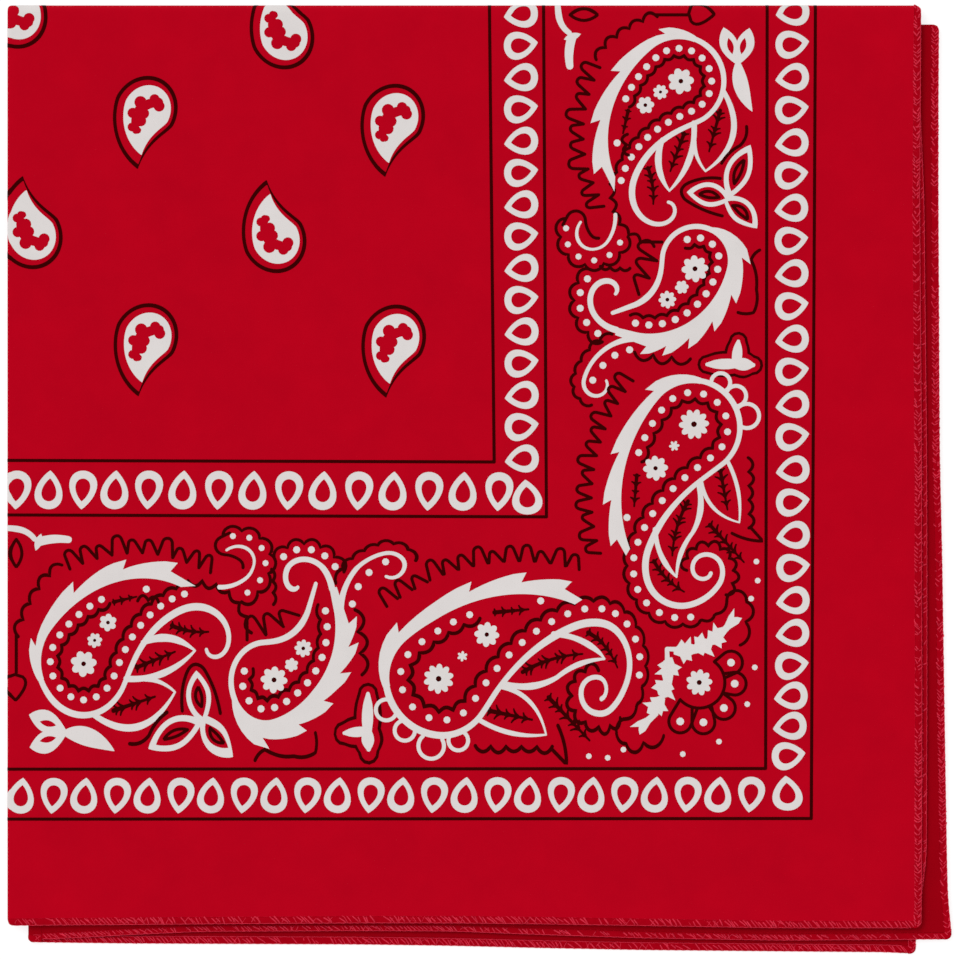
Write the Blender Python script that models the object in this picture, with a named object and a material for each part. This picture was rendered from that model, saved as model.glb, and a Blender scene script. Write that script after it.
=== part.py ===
"""A square cotton bandana with a narrow hem, folded twice into quarters and lying flat.

Metres, +Z up. The origin is on the surface it lies on, under the middle of the folded stack. The
square is folded in half, which makes the folds at the left (-X), and then in half again, which
makes the folds at the far end (+Y). The hems are at the right (+X) and the near end (-Y). The
quarters are named from the top down: top, second, third and bottom. The top quarter turns under at
the left into the second, the bottom quarter turns up at the left into the third, and at the far
end the top quarter turns under into the bottom one, around the second and third.

Places on the cloth are given by two distances from the outermost folds: across, to the right, and
down, towards the near hem.
"""
import math

import bpy
import numpy as np

MM = 0.001

# The cloth and its layers
CLOTH = 1.0 * MM             # wall of one layer
GAP = 0.3 * MM               # clearance between neighbouring pieces
LEVEL = CLOTH + GAP          # rise from one layer to the next
HALF_CLOTH = 0.5 * CLOTH
STACK = 4 * CLOTH + 3 * GAP  # the four layers together
RIPPLE = 0.45 * MM           # most that the top quarter lifts between its edges
RIPPLE_FADE = 16.0 * MM      # width of the level border round the ripples

# The folds
SIDE_BEND = 0.5 * LEVEL             # radius of the cloth's middle where two layers join
END_BEND = 1.5 * LEVEL              # the same where the top quarter wraps all four
SIDE_REACH = SIDE_BEND + HALF_CLOTH
END_REACH = END_BEND + HALF_CLOTH
TURN_UNDER = 3.0 * MM               # level stretch past a side fold
END_TURN_UNDER = 0.5 * MM           # level stretch past the far fold
LOWER_FOLD = 6.1 * MM               # how far the lower pair's side fold lies inside the upper pair's
INNER_FOLD = 4.6 * MM               # how far the inner pair's far fold lies inside the outer pair's

# The hems
HEM_WIDTH = 2.4 * MM
HEM_CROWN = 0.2 * MM       # how much thicker than the cloth the top hem is, on its outer side
HEM_EDGE = 0.25 * MM       # half thickness of a hem at its rounded edges
HEM_INSET = HEM_WIDTH + GAP

# A hem's section: places over its width, its half thickness there, and the share of its crown
HEM_SHARE = np.array([0.0, 0.16, 0.5, 0.84, 1.0])
HEM_HALF = np.array([HEM_EDGE, HALF_CLOTH, HALF_CLOTH, HALF_CLOTH, HEM_EDGE])
HEM_BULGE = np.array([0.0, 0.3, 1.0, 0.3, 0.0])

# The hidden layers
GROOVE = 2.0 * MM          # depth of the groove between the second and third quarters
EDGE_ROUND = 0.3 * MM      # rounding of their edges
FITTING_PASSES = 3         # rounds in which a point is fitted between two slanting edges

# Where the right hems end, in millimetres across, by the distance down from the far fold.
RIGHT_EDGE_COLUMNS = ("down", "top", "second", "third", "bottom")
RIGHT_EDGES = (
    (0.0, 278.2, 277.4, 283.3, 276.6),
    (30.0, 278.0, 278.0, 283.2, 276.6),
    (59.0, 277.8, 279.2, 283.3, 276.6),
    (135.0, 278.4, 280.0, 283.8, 276.6),
    (170.0, 278.4, 280.1, 284.8, 276.6),
    (211.0, 278.5, 280.1, 285.4, 276.6),
    (260.0, 278.4, 279.9, 286.2, 276.6),
    (274.0, 278.3, 277.8, 286.6, 276.6),
    (283.0, 278.2, 277.4, 287.2, 276.6),
)

# Where the near hems end, in millimetres down, by the distance across from the side fold.
NEAR_EDGE_COLUMNS = ("across", "top", "second", "third", "bottom")
NEAR_EDGES = (
    (0.0, 279.0, 278.0, 284.5, 284.5),
    (20.0, 279.2, 278.1, 283.8, 284.6),
    (37.0, 279.3, 278.2, 282.8, 284.8),
    (59.0, 279.2, 278.1, 281.9, 284.9),
    (107.0, 278.9, 277.9, 281.9, 285.1),
    (135.0, 278.9, 277.9, 281.9, 285.7),
    (163.0, 279.2, 278.1, 282.8, 286.3),
    (193.0, 279.7, 278.5, 283.6, 286.8),
    (235.0, 280.4, 279.1, 284.2, 287.2),
    (271.0, 280.4, 279.1, 284.0, 287.5),
    (277.0, 280.4, 279.1, 283.9, 288.0),
)
SMOOTHING = 12.0 * MM      # length over which an edge's corners are evened out

# Grid steps
FIELD_STEPS = 18           # along and across the top quarter
PLAIN_STEPS = 18           # along and across the hidden layers and the bottom quarter
HEM_STEPS = 18
SIDE_BEND_STEPS = 6
END_BEND_STEPS = 8

# Colours and finish
CLOTH_RED = (0.462, 0.001, 0.011, 1.0)
THREAD_RED = (0.520, 0.006, 0.016, 1.0)
CLOTH_ROUGHNESS = 0.85


def edge_line(columns, table, layer):
    """Return the smoothed line of one layer's edge as a function of the table's first column."""
    rows = np.array(table) * MM
    places = rows[:, 0]
    ends = rows[:, columns.index(layer)]
    shifts = np.linspace(-0.5, 0.5, 9) * SMOOTHING

    def line(place):
        return np.mean([np.interp(place + shift, places, ends) for shift in shifts], axis=0)

    return line


RIGHT = {layer: edge_line(RIGHT_EDGE_COLUMNS, RIGHT_EDGES, layer) for layer in RIGHT_EDGE_COLUMNS[1:]}
NEAR = {layer: edge_line(NEAR_EDGE_COLUMNS, NEAR_EDGES, layer) for layer in NEAR_EDGE_COLUMNS[1:]}

# The stack is centred on the origin by the farthest ends of its hems.
REACH_ACROSS = float(RIGHT["third"](NEAR["third"](RIGHT_EDGES[-1][3] * MM)))
REACH_DOWN = float(NEAR["bottom"](RIGHT_EDGES[-1][4] * MM))

# Each quarter's middle height, where its side fold starts, and the side its printed face is on
HEIGHT = {layer: HALF_CLOTH + LEVEL * step for step, layer in enumerate(("bottom", "third", "second", "top"))}
FOLD_START = {"top": SIDE_REACH, "bottom": LOWER_FOLD + SIDE_REACH}
OUTWARD = {"top": 1.0, "second": 1.0, "third": -1.0, "bottom": -1.0}


def ripple(across, down):
    """Return the height of the soft unevenness of the top quarter, level along its edges."""
    right = RIGHT["top"](down)
    near = NEAR["top"](across)
    inside = np.minimum(np.minimum(across - END_REACH, right - across), np.minimum(down - END_REACH, near - down))
    fade = np.clip(inside / RIPPLE_FADE, 0.0, 1.0)
    fade = fade * fade * (3.0 - 2.0 * fade)
    long_wave = np.sin(across / (31.0 * MM) + 0.8) * np.sin(down / (37.0 * MM) + 0.3)
    short_wave = np.sin((across + 0.6 * down) / (17.0 * MM)) * np.sin((down - 0.4 * across) / (21.0 * MM) + 1.1)
    return RIPPLE * fade * (0.5 + 0.3 * long_wave + 0.2 * short_wave)


def bend(past, radius, lift):
    """Follow a half turn of the cloth and the level stretch after it.

    past is the distance past the start of the fold, measured along the cloth's middle. The result
    is how far out the point lies, and how far it has gone down.
    """
    angle = np.clip(past / radius, 0.0, math.pi)
    beyond = np.maximum(past - math.pi * radius, 0.0)
    out = (radius + lift) * np.sin(angle) - beyond
    drop = radius + lift - (radius + lift) * np.cos(angle)
    return np.where(past > 0.0, out, past), drop


def place(layer, across, down, lift):
    """Return the points of a quarter at the given distances along its cloth.

    lift is the distance from the middle of the cloth towards its printed side.
    """
    across = np.asarray(across, dtype=float)
    down = np.asarray(down, dtype=float)
    lift = np.broadcast_to(np.asarray(lift, dtype=float), np.broadcast(across, down).shape)
    plan_across = across
    plan_down = down
    drop = np.zeros(lift.shape)
    if layer in FOLD_START:
        out, side_drop = bend(FOLD_START[layer] - across, SIDE_BEND, lift)
        plan_across = FOLD_START[layer] - out
        drop = drop + side_drop
    if layer == "top":
        out, end_drop = bend(END_REACH - down, END_BEND, lift)
        plan_down = END_REACH - out
        drop = drop + end_drop + -ripple(across, down)
    height = HEIGHT[layer] + OUTWARD[layer] * (lift - drop)
    x = plan_across - 0.5 * REACH_ACROSS
    y = 0.5 * REACH_DOWN - plan_down
    return np.stack(np.broadcast_arrays(x, y, height), axis=-1)


def make_material(name, colour):
    """Return a matt cloth material."""
    material = bpy.data.materials.new(name)
    material.use_nodes = True
    shader = material.node_tree.nodes["Principled BSDF"]
    shader.inputs["Base Color"].default_value = colour
    shader.inputs["Roughness"].default_value = CLOTH_ROUGHNESS
    shader.inputs["Metallic"].default_value = 0.0
    return material


def make_object(name, points, faces, material):
    """Make one closed object from points and faces."""
    used = sorted({corner for face in faces for corner in face})
    renumbered = {corner: number for number, corner in enumerate(used)}
    mesh = bpy.data.meshes.new(name)
    mesh.from_pydata(
        [tuple(points[corner]) for corner in used],
        [],
        [[renumbered[corner] for corner in face] for face in faces],
    )
    mesh.materials.append(material)
    mesh.shade_smooth()
    mesh.set_sharp_from_angle(angle=math.radians(40.0))
    item = bpy.data.objects.new(name, mesh)
    bpy.context.scene.collection.objects.link(item)
    return item


def wall_faces(rows, columns, kept, flipped):
    """Return the faces of a wall between two grids of points, the outer one numbered first."""
    count = rows * columns
    faces = []
    border = set()
    for row, column in np.argwhere(kept):
        corner = int(row * columns + column)
        loop = [corner, corner + columns, corner + columns + 1, corner + 1]
        faces.append(loop)
        faces.append([count + number for number in reversed(loop)])
        for start, end in zip(loop, loop[1:] + loop[:1]):
            if (end, start) in border:
                border.remove((end, start))
            else:
                border.add((start, end))
    for start, end in sorted(border):
        faces.append([end, start, count + start, count + end])
    if flipped:
        faces = [list(reversed(face)) for face in faces]
    return faces


def make_wall(name, layer, across, down, half_out, half_in, kept, material):
    """Make a wall of cloth over a grid, from half_in inside its middle to half_out outside it."""
    outer = place(layer, across, down, half_out)
    inner = place(layer, across, down, -half_in)
    rows, columns = across.shape
    points = np.concatenate([outer.reshape(-1, 3), inner.reshape(-1, 3)])
    faces = wall_faces(rows, columns, kept, OUTWARD[layer] < 0.0)
    return make_object(name, points, faces, material)


def stations(start, end, bend_radius, turn, bend_steps, field_steps):
    """Return distances along the cloth: a turned-under stretch, a fold, and then the level field."""
    places = list(np.linspace(start, end, field_steps + 1))
    if bend_radius:
        half_turn = math.pi * bend_radius
        fold = [start - half_turn * step / bend_steps for step in range(bend_steps, 0, -1)]
        places = [start - half_turn - turn] + fold + places
    return np.array(places)


def quarter_panel(name, layer, far_start, end_bend, steps, material):
    """Make the panel of the top or the bottom quarter, with its folds, inside its hems."""
    across_line = stations(FOLD_START[layer], RIGHT[layer](0.0) - HEM_INSET, SIDE_BEND, TURN_UNDER,
                           SIDE_BEND_STEPS, steps)
    down_line = stations(far_start, NEAR[layer](0.0) - HEM_INSET, end_bend, END_TURN_UNDER,
                         END_BEND_STEPS, steps)
    across, down = np.meshgrid(across_line, down_line)
    wide = across > FOLD_START[layer]
    long = down > far_start
    share = (across - FOLD_START[layer]) / (across_line[-1] - FOLD_START[layer])
    full = RIGHT[layer](down) - HEM_INSET
    across_fitted = np.where(wide, FOLD_START[layer] + share * (full - FOLD_START[layer]), across)
    share = (down - far_start) / (down_line[-1] - far_start)
    full = NEAR[layer](across_fitted) - HEM_INSET
    down_fitted = np.where(long, far_start + share * (full - far_start), down)
    across_middle = 0.5 * (across_line[1:] + across_line[:-1])
    down_middle = 0.5 * (down_line[1:] + down_line[:-1])
    turned_side = across_middle < FOLD_START[layer] - 0.5 * math.pi * SIDE_BEND
    in_side_fold = across_middle < FOLD_START[layer]
    turned_end = down_middle < far_start - 0.5 * math.pi * end_bend
    in_end_fold = down_middle < far_start
    kept = ~(in_end_fold[:, None] & turned_side[None, :]) & ~(turned_end[:, None] & in_side_fold[None, :])
    return make_wall(name, layer, across_fitted, down_fitted, HALF_CLOTH, HALF_CLOTH, kept, material)


def right_hem(name, layer, start, end_bend, crown, material):
    """Make the hem along a quarter's right edge, from its far fold to its near corner."""
    end = float(NEAR[layer](RIGHT[layer](1.0)))
    line = stations(start, end, end_bend, END_TURN_UNDER, END_BEND_STEPS, HEM_STEPS)
    down = np.repeat(line[:, None], len(HEM_SHARE), axis=1)
    across = RIGHT[layer](down) - HEM_WIDTH * (1.0 - HEM_SHARE[None, :])
    outer = HEM_HALF[None, :] + crown * HEM_BULGE[None, :] * (down > start)
    kept = np.ones((len(line) - 1, len(HEM_SHARE) - 1), dtype=bool)
    return make_wall(name, layer, across, down, outer, HEM_HALF[None, :], kept, material)


def near_hem(name, layer, start, side_bend, crown, material):
    """Make the hem along a quarter's near edge, from its side fold to the right hem."""
    end = float(RIGHT[layer](NEAR[layer](1.0))) - HEM_INSET
    line = stations(start, end, side_bend, TURN_UNDER, SIDE_BEND_STEPS, HEM_STEPS)
    across = np.repeat(line[None, :], len(HEM_SHARE), axis=0)
    down = NEAR[layer](across) - HEM_WIDTH * (1.0 - HEM_SHARE[:, None])
    outer = HEM_HALF[:, None] + crown * HEM_BULGE[:, None] * (across > start)
    kept = np.ones((len(HEM_SHARE) - 1, len(line) - 1), dtype=bool)
    return make_wall(name, layer, across, down, outer, HEM_HALF[:, None], kept, material)


def inner_profile():
    """Return the rings of the hidden layers from their underside up to their top.

    Each ring has the layer whose edge it follows, its inset from that edge, and its height.
    """
    third_low = HEIGHT["third"] - HALF_CLOTH
    third_high = HEIGHT["third"] + HALF_CLOTH
    second_low = HEIGHT["second"] - HALF_CLOTH
    second_high = HEIGHT["second"] + HALF_CLOTH
    return (
        ("third", EDGE_ROUND, third_low),
        ("third", 0.0, third_low + EDGE_ROUND),
        ("third", 0.0, third_high - EDGE_ROUND),
        ("third", EDGE_ROUND, third_high),
        ("groove", GROOVE, third_high),
        ("groove", GROOVE, second_low),
        ("second", EDGE_ROUND, second_low),
        ("second", 0.0, second_low + EDGE_ROUND),
        ("second", 0.0, second_high - EDGE_ROUND),
        ("second", EDGE_ROUND, second_high),
    )


def inner_limits(edge, inset, down, across):
    """Return the left, right and near limits of a ring of the hidden layers."""
    left = {"second": SIDE_REACH, "third": LOWER_FOLD + SIDE_REACH}
    right = {layer: RIGHT[layer](down) - HEM_INSET for layer in ("second", "third")}
    near = {"second": NEAR["second"](across), "third": NEAR["third"](across) - HEM_INSET}
    if edge == "groove":
        low = max(left.values())
        high = np.minimum(right["second"], right["third"])
        end = np.minimum(near["second"], near["third"])
    else:
        low = left[edge]
        high = right[edge]
        end = near[edge]
    return low + TURN_UNDER + GAP + inset, high - inset, end - inset


def make_inner_layers(name, material):
    """Make the second and third quarters as one solid, rounded at its far fold and layered at its edges."""
    profile = inner_profile()
    share_across = np.linspace(0.0, 1.0, PLAIN_STEPS + 1)
    share_down = np.concatenate([[0.0, 0.01], np.linspace(0.0, 1.0, PLAIN_STEPS + 1)[1:]])
    rows = len(share_down)
    columns = len(share_across)
    fold_centre = INNER_FOLD + SIDE_REACH
    middle = 0.5 * STACK
    length = NEAR["third"](0.0) - fold_centre
    points = []
    for ring, (edge, inset, height) in enumerate(profile):
        angle = math.pi * (ring / (len(profile) - 1) - 0.5)
        for row, down_share in enumerate(share_down):
            rough_down = fold_centre + down_share * length
            for across_share in share_across:
                across = across_share * RIGHT["third"](rough_down)
                down = rough_down
                for _ in range(FITTING_PASSES):
                    left, right, near = inner_limits(edge, inset, down, across)
                    across = left + across_share * (right - left)
                    down = fold_centre + down_share * (near - fold_centre)
                level = height
                if row == 0:
                    down = fold_centre - SIDE_REACH * math.cos(angle)
                    level = middle + SIDE_REACH * math.sin(angle)
                points.append((across - 0.5 * REACH_ACROSS, 0.5 * REACH_DOWN - down, level))
    faces = []
    per_ring = rows * columns
    last = (len(profile) - 1) * per_ring
    for row in range(rows - 1):
        for column in range(columns - 1):
            corner = row * columns + column
            loop = [corner, corner + 1, corner + columns + 1, corner + columns]
            faces.append(loop)
            faces.append([last + number for number in reversed(loop)])
    outline = list(range(columns - 1))
    outline += [row * columns + columns - 1 for row in range(rows - 1)]
    outline += [(rows - 1) * columns + column for column in range(columns - 1, 0, -1)]
    outline += [row * columns for row in range(rows - 1, 0, -1)]
    for ring in range(len(profile) - 1):
        low = ring * per_ring
        high = low + per_ring
        for start, end in zip(outline, outline[1:] + outline[:1]):
            faces.append([low + end, low + start, high + start, high + end])
    return make_object(name, points, faces, material)


def build():
    """Build the folded bandana."""
    for item in list(bpy.data.objects):
        bpy.data.objects.remove(item, do_unlink=True)
    cloth = {name: make_material(name + "_cotton", CLOTH_RED) for name in ("top", "inner", "bottom")}
    thread = {name: make_material(name + "_hem_cotton", THREAD_RED) for name in HEIGHT}
    quarter_panel("top_quarter", "top", END_REACH, END_BEND, FIELD_STEPS, cloth["top"])
    make_inner_layers("inner_layers", cloth["inner"])
    bottom_start = END_REACH + END_TURN_UNDER + GAP
    quarter_panel("bottom_quarter", "bottom", bottom_start, 0.0, PLAIN_STEPS, cloth["bottom"])
    inner_start = INNER_FOLD + SIDE_REACH
    third_start = LOWER_FOLD + SIDE_REACH + TURN_UNDER + GAP
    right_hem("top_hem_right", "top", END_REACH, END_BEND, HEM_CROWN, thread["top"])
    near_hem("top_hem_near", "top", SIDE_REACH, SIDE_BEND, HEM_CROWN, thread["top"])
    right_hem("second_hem_right", "second", inner_start, 0.0, 0.0, thread["second"])
    right_hem("third_hem_right", "third", INNER_FOLD, 0.0, 0.0, thread["third"])
    near_hem("third_hem_near", "third", third_start, 0.0, 0.0, thread["third"])
    right_hem("bottom_hem_right", "bottom", bottom_start, 0.0, 0.0, thread["bottom"])
    near_hem("bottom_hem_near", "bottom", FOLD_START["bottom"], SIDE_BEND, 0.0, thread["bottom"])


build()
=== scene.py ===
"""A folded cotton bandana with a printed border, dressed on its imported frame.

The cloth is four thin quarters on the forms of the frame's solids, with beaded hems and overlock
stitches. The print is drawn flat in millimetres, across from the side fold and down from the far
fold, cut into triangles and laid just off the cloth, on the top quarter and on the underside.
"""
import math

import bpy
import numpy as np
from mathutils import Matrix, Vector
from mathutils.geometry import delaunay_2d_cdt


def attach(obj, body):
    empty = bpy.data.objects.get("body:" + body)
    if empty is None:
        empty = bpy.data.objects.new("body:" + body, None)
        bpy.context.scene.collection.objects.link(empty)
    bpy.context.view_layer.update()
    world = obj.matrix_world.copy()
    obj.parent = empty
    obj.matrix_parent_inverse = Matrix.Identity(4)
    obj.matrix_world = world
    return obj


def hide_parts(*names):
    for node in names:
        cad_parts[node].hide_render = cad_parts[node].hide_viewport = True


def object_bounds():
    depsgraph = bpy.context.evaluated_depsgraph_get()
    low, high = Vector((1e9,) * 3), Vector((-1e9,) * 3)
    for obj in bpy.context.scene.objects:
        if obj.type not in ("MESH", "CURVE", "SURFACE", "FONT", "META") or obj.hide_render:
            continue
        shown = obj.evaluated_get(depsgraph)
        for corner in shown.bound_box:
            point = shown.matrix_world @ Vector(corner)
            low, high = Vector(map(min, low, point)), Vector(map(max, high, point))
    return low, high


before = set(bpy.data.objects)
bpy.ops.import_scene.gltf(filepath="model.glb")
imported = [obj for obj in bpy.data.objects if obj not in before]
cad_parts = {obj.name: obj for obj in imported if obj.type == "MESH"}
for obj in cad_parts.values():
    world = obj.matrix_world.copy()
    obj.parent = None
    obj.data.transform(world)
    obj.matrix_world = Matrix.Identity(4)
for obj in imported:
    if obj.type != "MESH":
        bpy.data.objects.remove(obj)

cad_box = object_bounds()

MM = 0.001    # metres in one of this script's units
TINY = 1e-15  # keeps a division by a length off zero

# --- The cloth's place, from the same sizes as its solids ---
HALF_CLOTH = 0.5          # half the wall of a solid layer
LEVEL = 1.3               # rise from one layer to the next
SEAM = 0.03               # between two stretches of one folded layer
SIDE_BEND = 0.5 * LEVEL   # radius of the cloth's middle where two layers join
END_BEND = 1.5 * LEVEL    # the same where the top quarter wraps all four
FAR_REACH = 0.6           # how far the far fold lies past its solid's
SIDE_REACH = SIDE_BEND + HALF_CLOTH
END_REACH = END_BEND + HALF_CLOTH - FAR_REACH
TURN_UNDER = 3.0          # level stretch past a side fold
END_TURN_UNDER = 0.5      # level stretch past the far fold
LOWER_FOLD = 6.1          # how far the lower pair's side fold lies inside the upper pair's
INNER_FOLD = 4.6          # how far the inner pair's far fold lies inside the outer pair's
INNER_EDGE = 5.2          # the same where the third layer shows beside that fold

# How far the cloth's two faces lie from the middle of its solid, towards the outward side
FACE = {"top": (0.5, -0.1), "second": (0.5, -0.1), "third": (0.1, -0.5), "bottom": (0.42, -0.2)}

# The top quarter's unevenness: its broad lift, as in the solid, and finer waves
RIPPLE = 0.45
RIPPLE_FADE = 16.0        # from the edges to where it is whole
FINE_RIPPLE = 0.10

CREASE_CURVE = 0.004      # how strongly a soft crease curves aside towards its ends
# Soft creases: middle across and down, half length, half width, direction in degrees, height
CREASES = (
    (62.0, 150.0, 46.0, 7.0, 12.0, 0.14),
    (118.0, 62.0, 38.0, 6.0, 101.0, -0.12),
    (183.0, 214.0, 52.0, 8.0, -24.0, 0.12),
    (38.0, 214.0, 33.0, 6.5, 64.0, -0.16),
    (222.0, 96.0, 41.0, 9.0, 83.0, 0.10),
    (140.0, 128.0, 29.0, 5.5, 38.0, 0.11),
    (96.0, 232.0, 57.0, 7.5, 3.0, 0.09),
)

# --- The hems ---
HEM_WIDTH = 2.4
CLOTH_INSET = HEM_WIDTH - 0.25   # the cloth runs a little way into its hems
HEM_CROWN = 0.2           # extra height of the top quarter's hems
HEM_DROOP = 0.2           # how far their outer edges hang down
# A hem's section, anticlockwise from its inner edge: share of its width, height over its middle
HEM_SECTION = (
    (0.00, 0.0), (0.03, 0.30), (0.10, 0.36), (0.20, 0.46), (0.50, 0.50), (0.82, 0.46), (0.95, 0.34),
    (1.00, 0.0), (0.95, -0.34), (0.82, -0.46), (0.50, -0.50), (0.20, -0.46), (0.03, -0.30),
)
HEM_STEP = 2.0            # from one section to the next
HEM_CORNER = 1.8          # radius of a hem's rounded end, seen from above
HEM_LAP = 0.3             # how far a near hem reaches past the side fold and into the right hem
PAST_ENDS = 1000.0        # a place past the ends of every edge table
THREAD_RADIUS = 0.21
FINE_THREAD = 0.12        # radius of a fine one
THREAD_SIDES = 4
CHEVRON_PITCH = 1.16      # from one stitch of a right hem to the next
SLASH_PITCH = 1.18        # the same on a near hem
# The threads of a hem's stitches: where across the hem one starts and ends, its lean, its radius and
# the share of them that shows. They meet in the middle of a right hem, and cross most of a near one.
STITCHES = {
    "right": ((0.04, 0.47, 1.0, THREAD_RADIUS, 0.94), (0.97, 0.53, 1.0, THREAD_RADIUS, 0.94)),
    "near": ((0.14, 0.90, 1.5, THREAD_RADIUS, 0.97), (0.18, 0.84, -0.9, FINE_THREAD, 0.20)),
}
SHADED = 0.32             # the share of the third layer's near hem that is painted in shade, for the top one's shadow
FEW_KEPT = {"second": 0.4}      # the share of the stitches that shows on a hem worn smooth
# The share that wear leaves: in the middle, how much it varies, over which length and from where
WEAR_LEAVES = 0.80
WEAR_VARIES = 0.25
WEAR_LENGTH = 17.0
WEAR_PHASE = {"top": 6.0, "second": 5.7, "third": 0.9, "bottom": 5.7}
# A stitch's line: share of its reach across the hem, share of the pitch
STITCH = ((0.0, 0.0), (0.34, 0.34), (0.67, 0.66), (1.0, 0.90))

LAYERS = ("top", "second", "third", "bottom")

# Where the right hems end, across: the distance down from the far fold, then each layer's end
RIGHT_EDGES = (
    (0.0, 278.2, 277.4, 283.8, 276.6),
    (30.0, 278.0, 278.0, 283.6, 276.6),
    (59.0, 277.8, 279.2, 283.6, 276.6),
    (135.0, 278.4, 280.0, 284.0, 276.6),
    (170.0, 278.4, 280.1, 284.8, 276.6),
    (211.0, 278.5, 280.1, 285.4, 276.6),
    (260.0, 278.4, 279.9, 286.2, 276.6),
    (274.0, 278.3, 277.8, 286.6, 276.6),
    (283.0, 278.2, 277.4, 287.9, 276.8),
)

# Where the near hems end, down: the distance across from the side fold, then each layer's end
NEAR_EDGES = (
    (0.0, 279.7, 278.0, 284.3, 284.8),
    (20.0, 279.5, 278.1, 283.6, 285.1),
    (37.0, 279.4, 278.2, 282.6, 285.3),
    (59.0, 279.2, 278.1, 281.6, 285.4),
    (107.0, 278.9, 277.9, 281.4, 285.6),
    (135.0, 278.9, 277.9, 281.5, 286.0),
    (163.0, 279.2, 278.1, 282.6, 286.7),
    (193.0, 279.7, 278.5, 283.6, 287.3),
    (235.0, 280.4, 279.1, 284.3, 287.7),
    (271.0, 280.4, 279.1, 284.1, 288.0),
    (277.0, 280.4, 279.1, 284.0, 288.6),
)
SMOOTHING = 12.0          # length over which an edge's corners are evened out


def edge_line(table, layer):
    """Return the smoothed line of one layer's edge as a function of the table's first column."""
    rows = np.array(table)
    ends = rows[:, 1 + LAYERS.index(layer)]
    shifts = np.linspace(-0.5, 0.5, 9) * SMOOTHING

    def line(at):
        return np.mean([np.interp(at + shift, rows[:, 0], ends) for shift in shifts], axis=0)

    return line


RIGHT = {layer: edge_line(RIGHT_EDGES, layer) for layer in LAYERS}
NEAR = {layer: edge_line(NEAR_EDGES, layer) for layer in LAYERS}
FOLDS_MEET = (cad_box[0][0], cad_box[1][1])   # where the top quarter's two folds are, in metres

HEIGHT = {layer: HALF_CLOTH + number * LEVEL for number, layer in enumerate(reversed(LAYERS))}
OUTWARD = {"top": 1.0, "second": 1.0, "third": -1.0, "bottom": -1.0}
# Where a quarter's cloth starts to turn at the side and at the far end, and the turns' radii
SIDE_FOLD = {"top": (SIDE_REACH, SIDE_BEND), "bottom": (LOWER_FOLD + SIDE_REACH, SIDE_BEND)}
END_FOLD = {"top": (END_REACH, END_BEND), "second": (INNER_FOLD + SIDE_REACH, SIDE_BEND)}
# Where the level cloth starts, across and down
SIDE_START = {
    "top": SIDE_REACH,
    "second": SIDE_REACH + TURN_UNDER + SEAM,
    "third": LOWER_FOLD + SIDE_REACH + TURN_UNDER + SEAM,
    "bottom": LOWER_FOLD + SIDE_REACH,
}
END_START = {
    "top": END_REACH,
    "second": INNER_FOLD + SIDE_REACH,
    "third": INNER_FOLD + SIDE_REACH + TURN_UNDER + SEAM,
    "bottom": END_REACH + END_TURN_UNDER + SEAM,
}
EDGE_START = dict(END_START, third=INNER_EDGE)   # the same at the right edge


def creases(across, down):
    """Return the height of the soft creases."""
    height = 0.0
    for middle_across, middle_down, length, width, degrees, rise in CREASES:
        angle = math.radians(degrees)
        along = (across - middle_across) * math.cos(angle) + (down - middle_down) * math.sin(angle)
        aside = (down - middle_down) * math.cos(angle) - (across - middle_across) * math.sin(angle)
        aside = aside + CREASE_CURVE * along * along / width
        height = height + rise * np.exp(-(along / length) ** 2 - (aside / width) ** 2)
    return height


def ripple(across, down):
    """Return the unevenness of the top quarter, level along its edges."""
    to_right = RIGHT["top"](down) - across
    to_near = NEAR["top"](across) - down
    inwards = np.min([across - END_REACH, down - END_REACH, to_right, to_near], axis=0)
    fade = np.clip(inwards / RIPPLE_FADE, 0.0, 1.0)
    fade = fade * fade * (3.0 - 2.0 * fade)
    long_wave = np.sin(across / 31.0 + 0.8) * np.sin(down / 37.0 + 0.3)
    short_wave = np.sin((across + 0.6 * down) / 17.0) * np.sin((down - 0.4 * across) / 21.0 + 1.1)
    fine_wave = np.sin((0.9 * across - 0.5 * down) / 5.6 + np.sin(down / 19.0))
    fine_wave = fine_wave * np.sin((0.4 * across + down) / 7.1 + 0.8 * np.sin(across / 23.0))
    broad = RIPPLE * (0.5 + 0.3 * long_wave + 0.2 * short_wave)
    return fade * (broad + FINE_RIPPLE * fine_wave + creases(across, down))


def bend(past, radius, lift):
    """Return how far out and how far down a point lies that is past the start of a fold."""
    angle = np.clip(past / radius, 0.0, math.pi)
    beyond = np.maximum(past - math.pi * radius, 0.0)
    out = (radius + lift) * np.sin(angle) - beyond
    drop = (radius + lift) * (1.0 - np.cos(angle))
    return np.where(past > 0.0, out, past), drop


def place(layer, across, down, lift):
    """Return the points, in metres, of a quarter at the given distances along its cloth.

    lift is the distance from the middle of the solid towards the quarter's outward side.
    """
    across, down, lift = np.broadcast_arrays(across, down, lift)
    plan = [across, down]
    for axis, folds in enumerate((SIDE_FOLD, END_FOLD)):
        if layer in folds:
            start, radius = folds[layer]
            out, fall = bend(start - plan[axis], radius, lift)
            plan[axis] = start - out
            lift = lift - fall
    if layer == "top":
        lift = lift + ripple(across, down)
    height = HEIGHT[layer] + OUTWARD[layer] * lift
    x, y = FOLDS_MEET
    return np.stack([x + plan[0] * MM, y - plan[1] * MM, height * MM], axis=-1)


def unit(vectors):
    """Return vectors of length one, each the same way as before."""
    return vectors / np.maximum(np.linalg.norm(vectors, axis=-1, keepdims=True), TINY)


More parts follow.
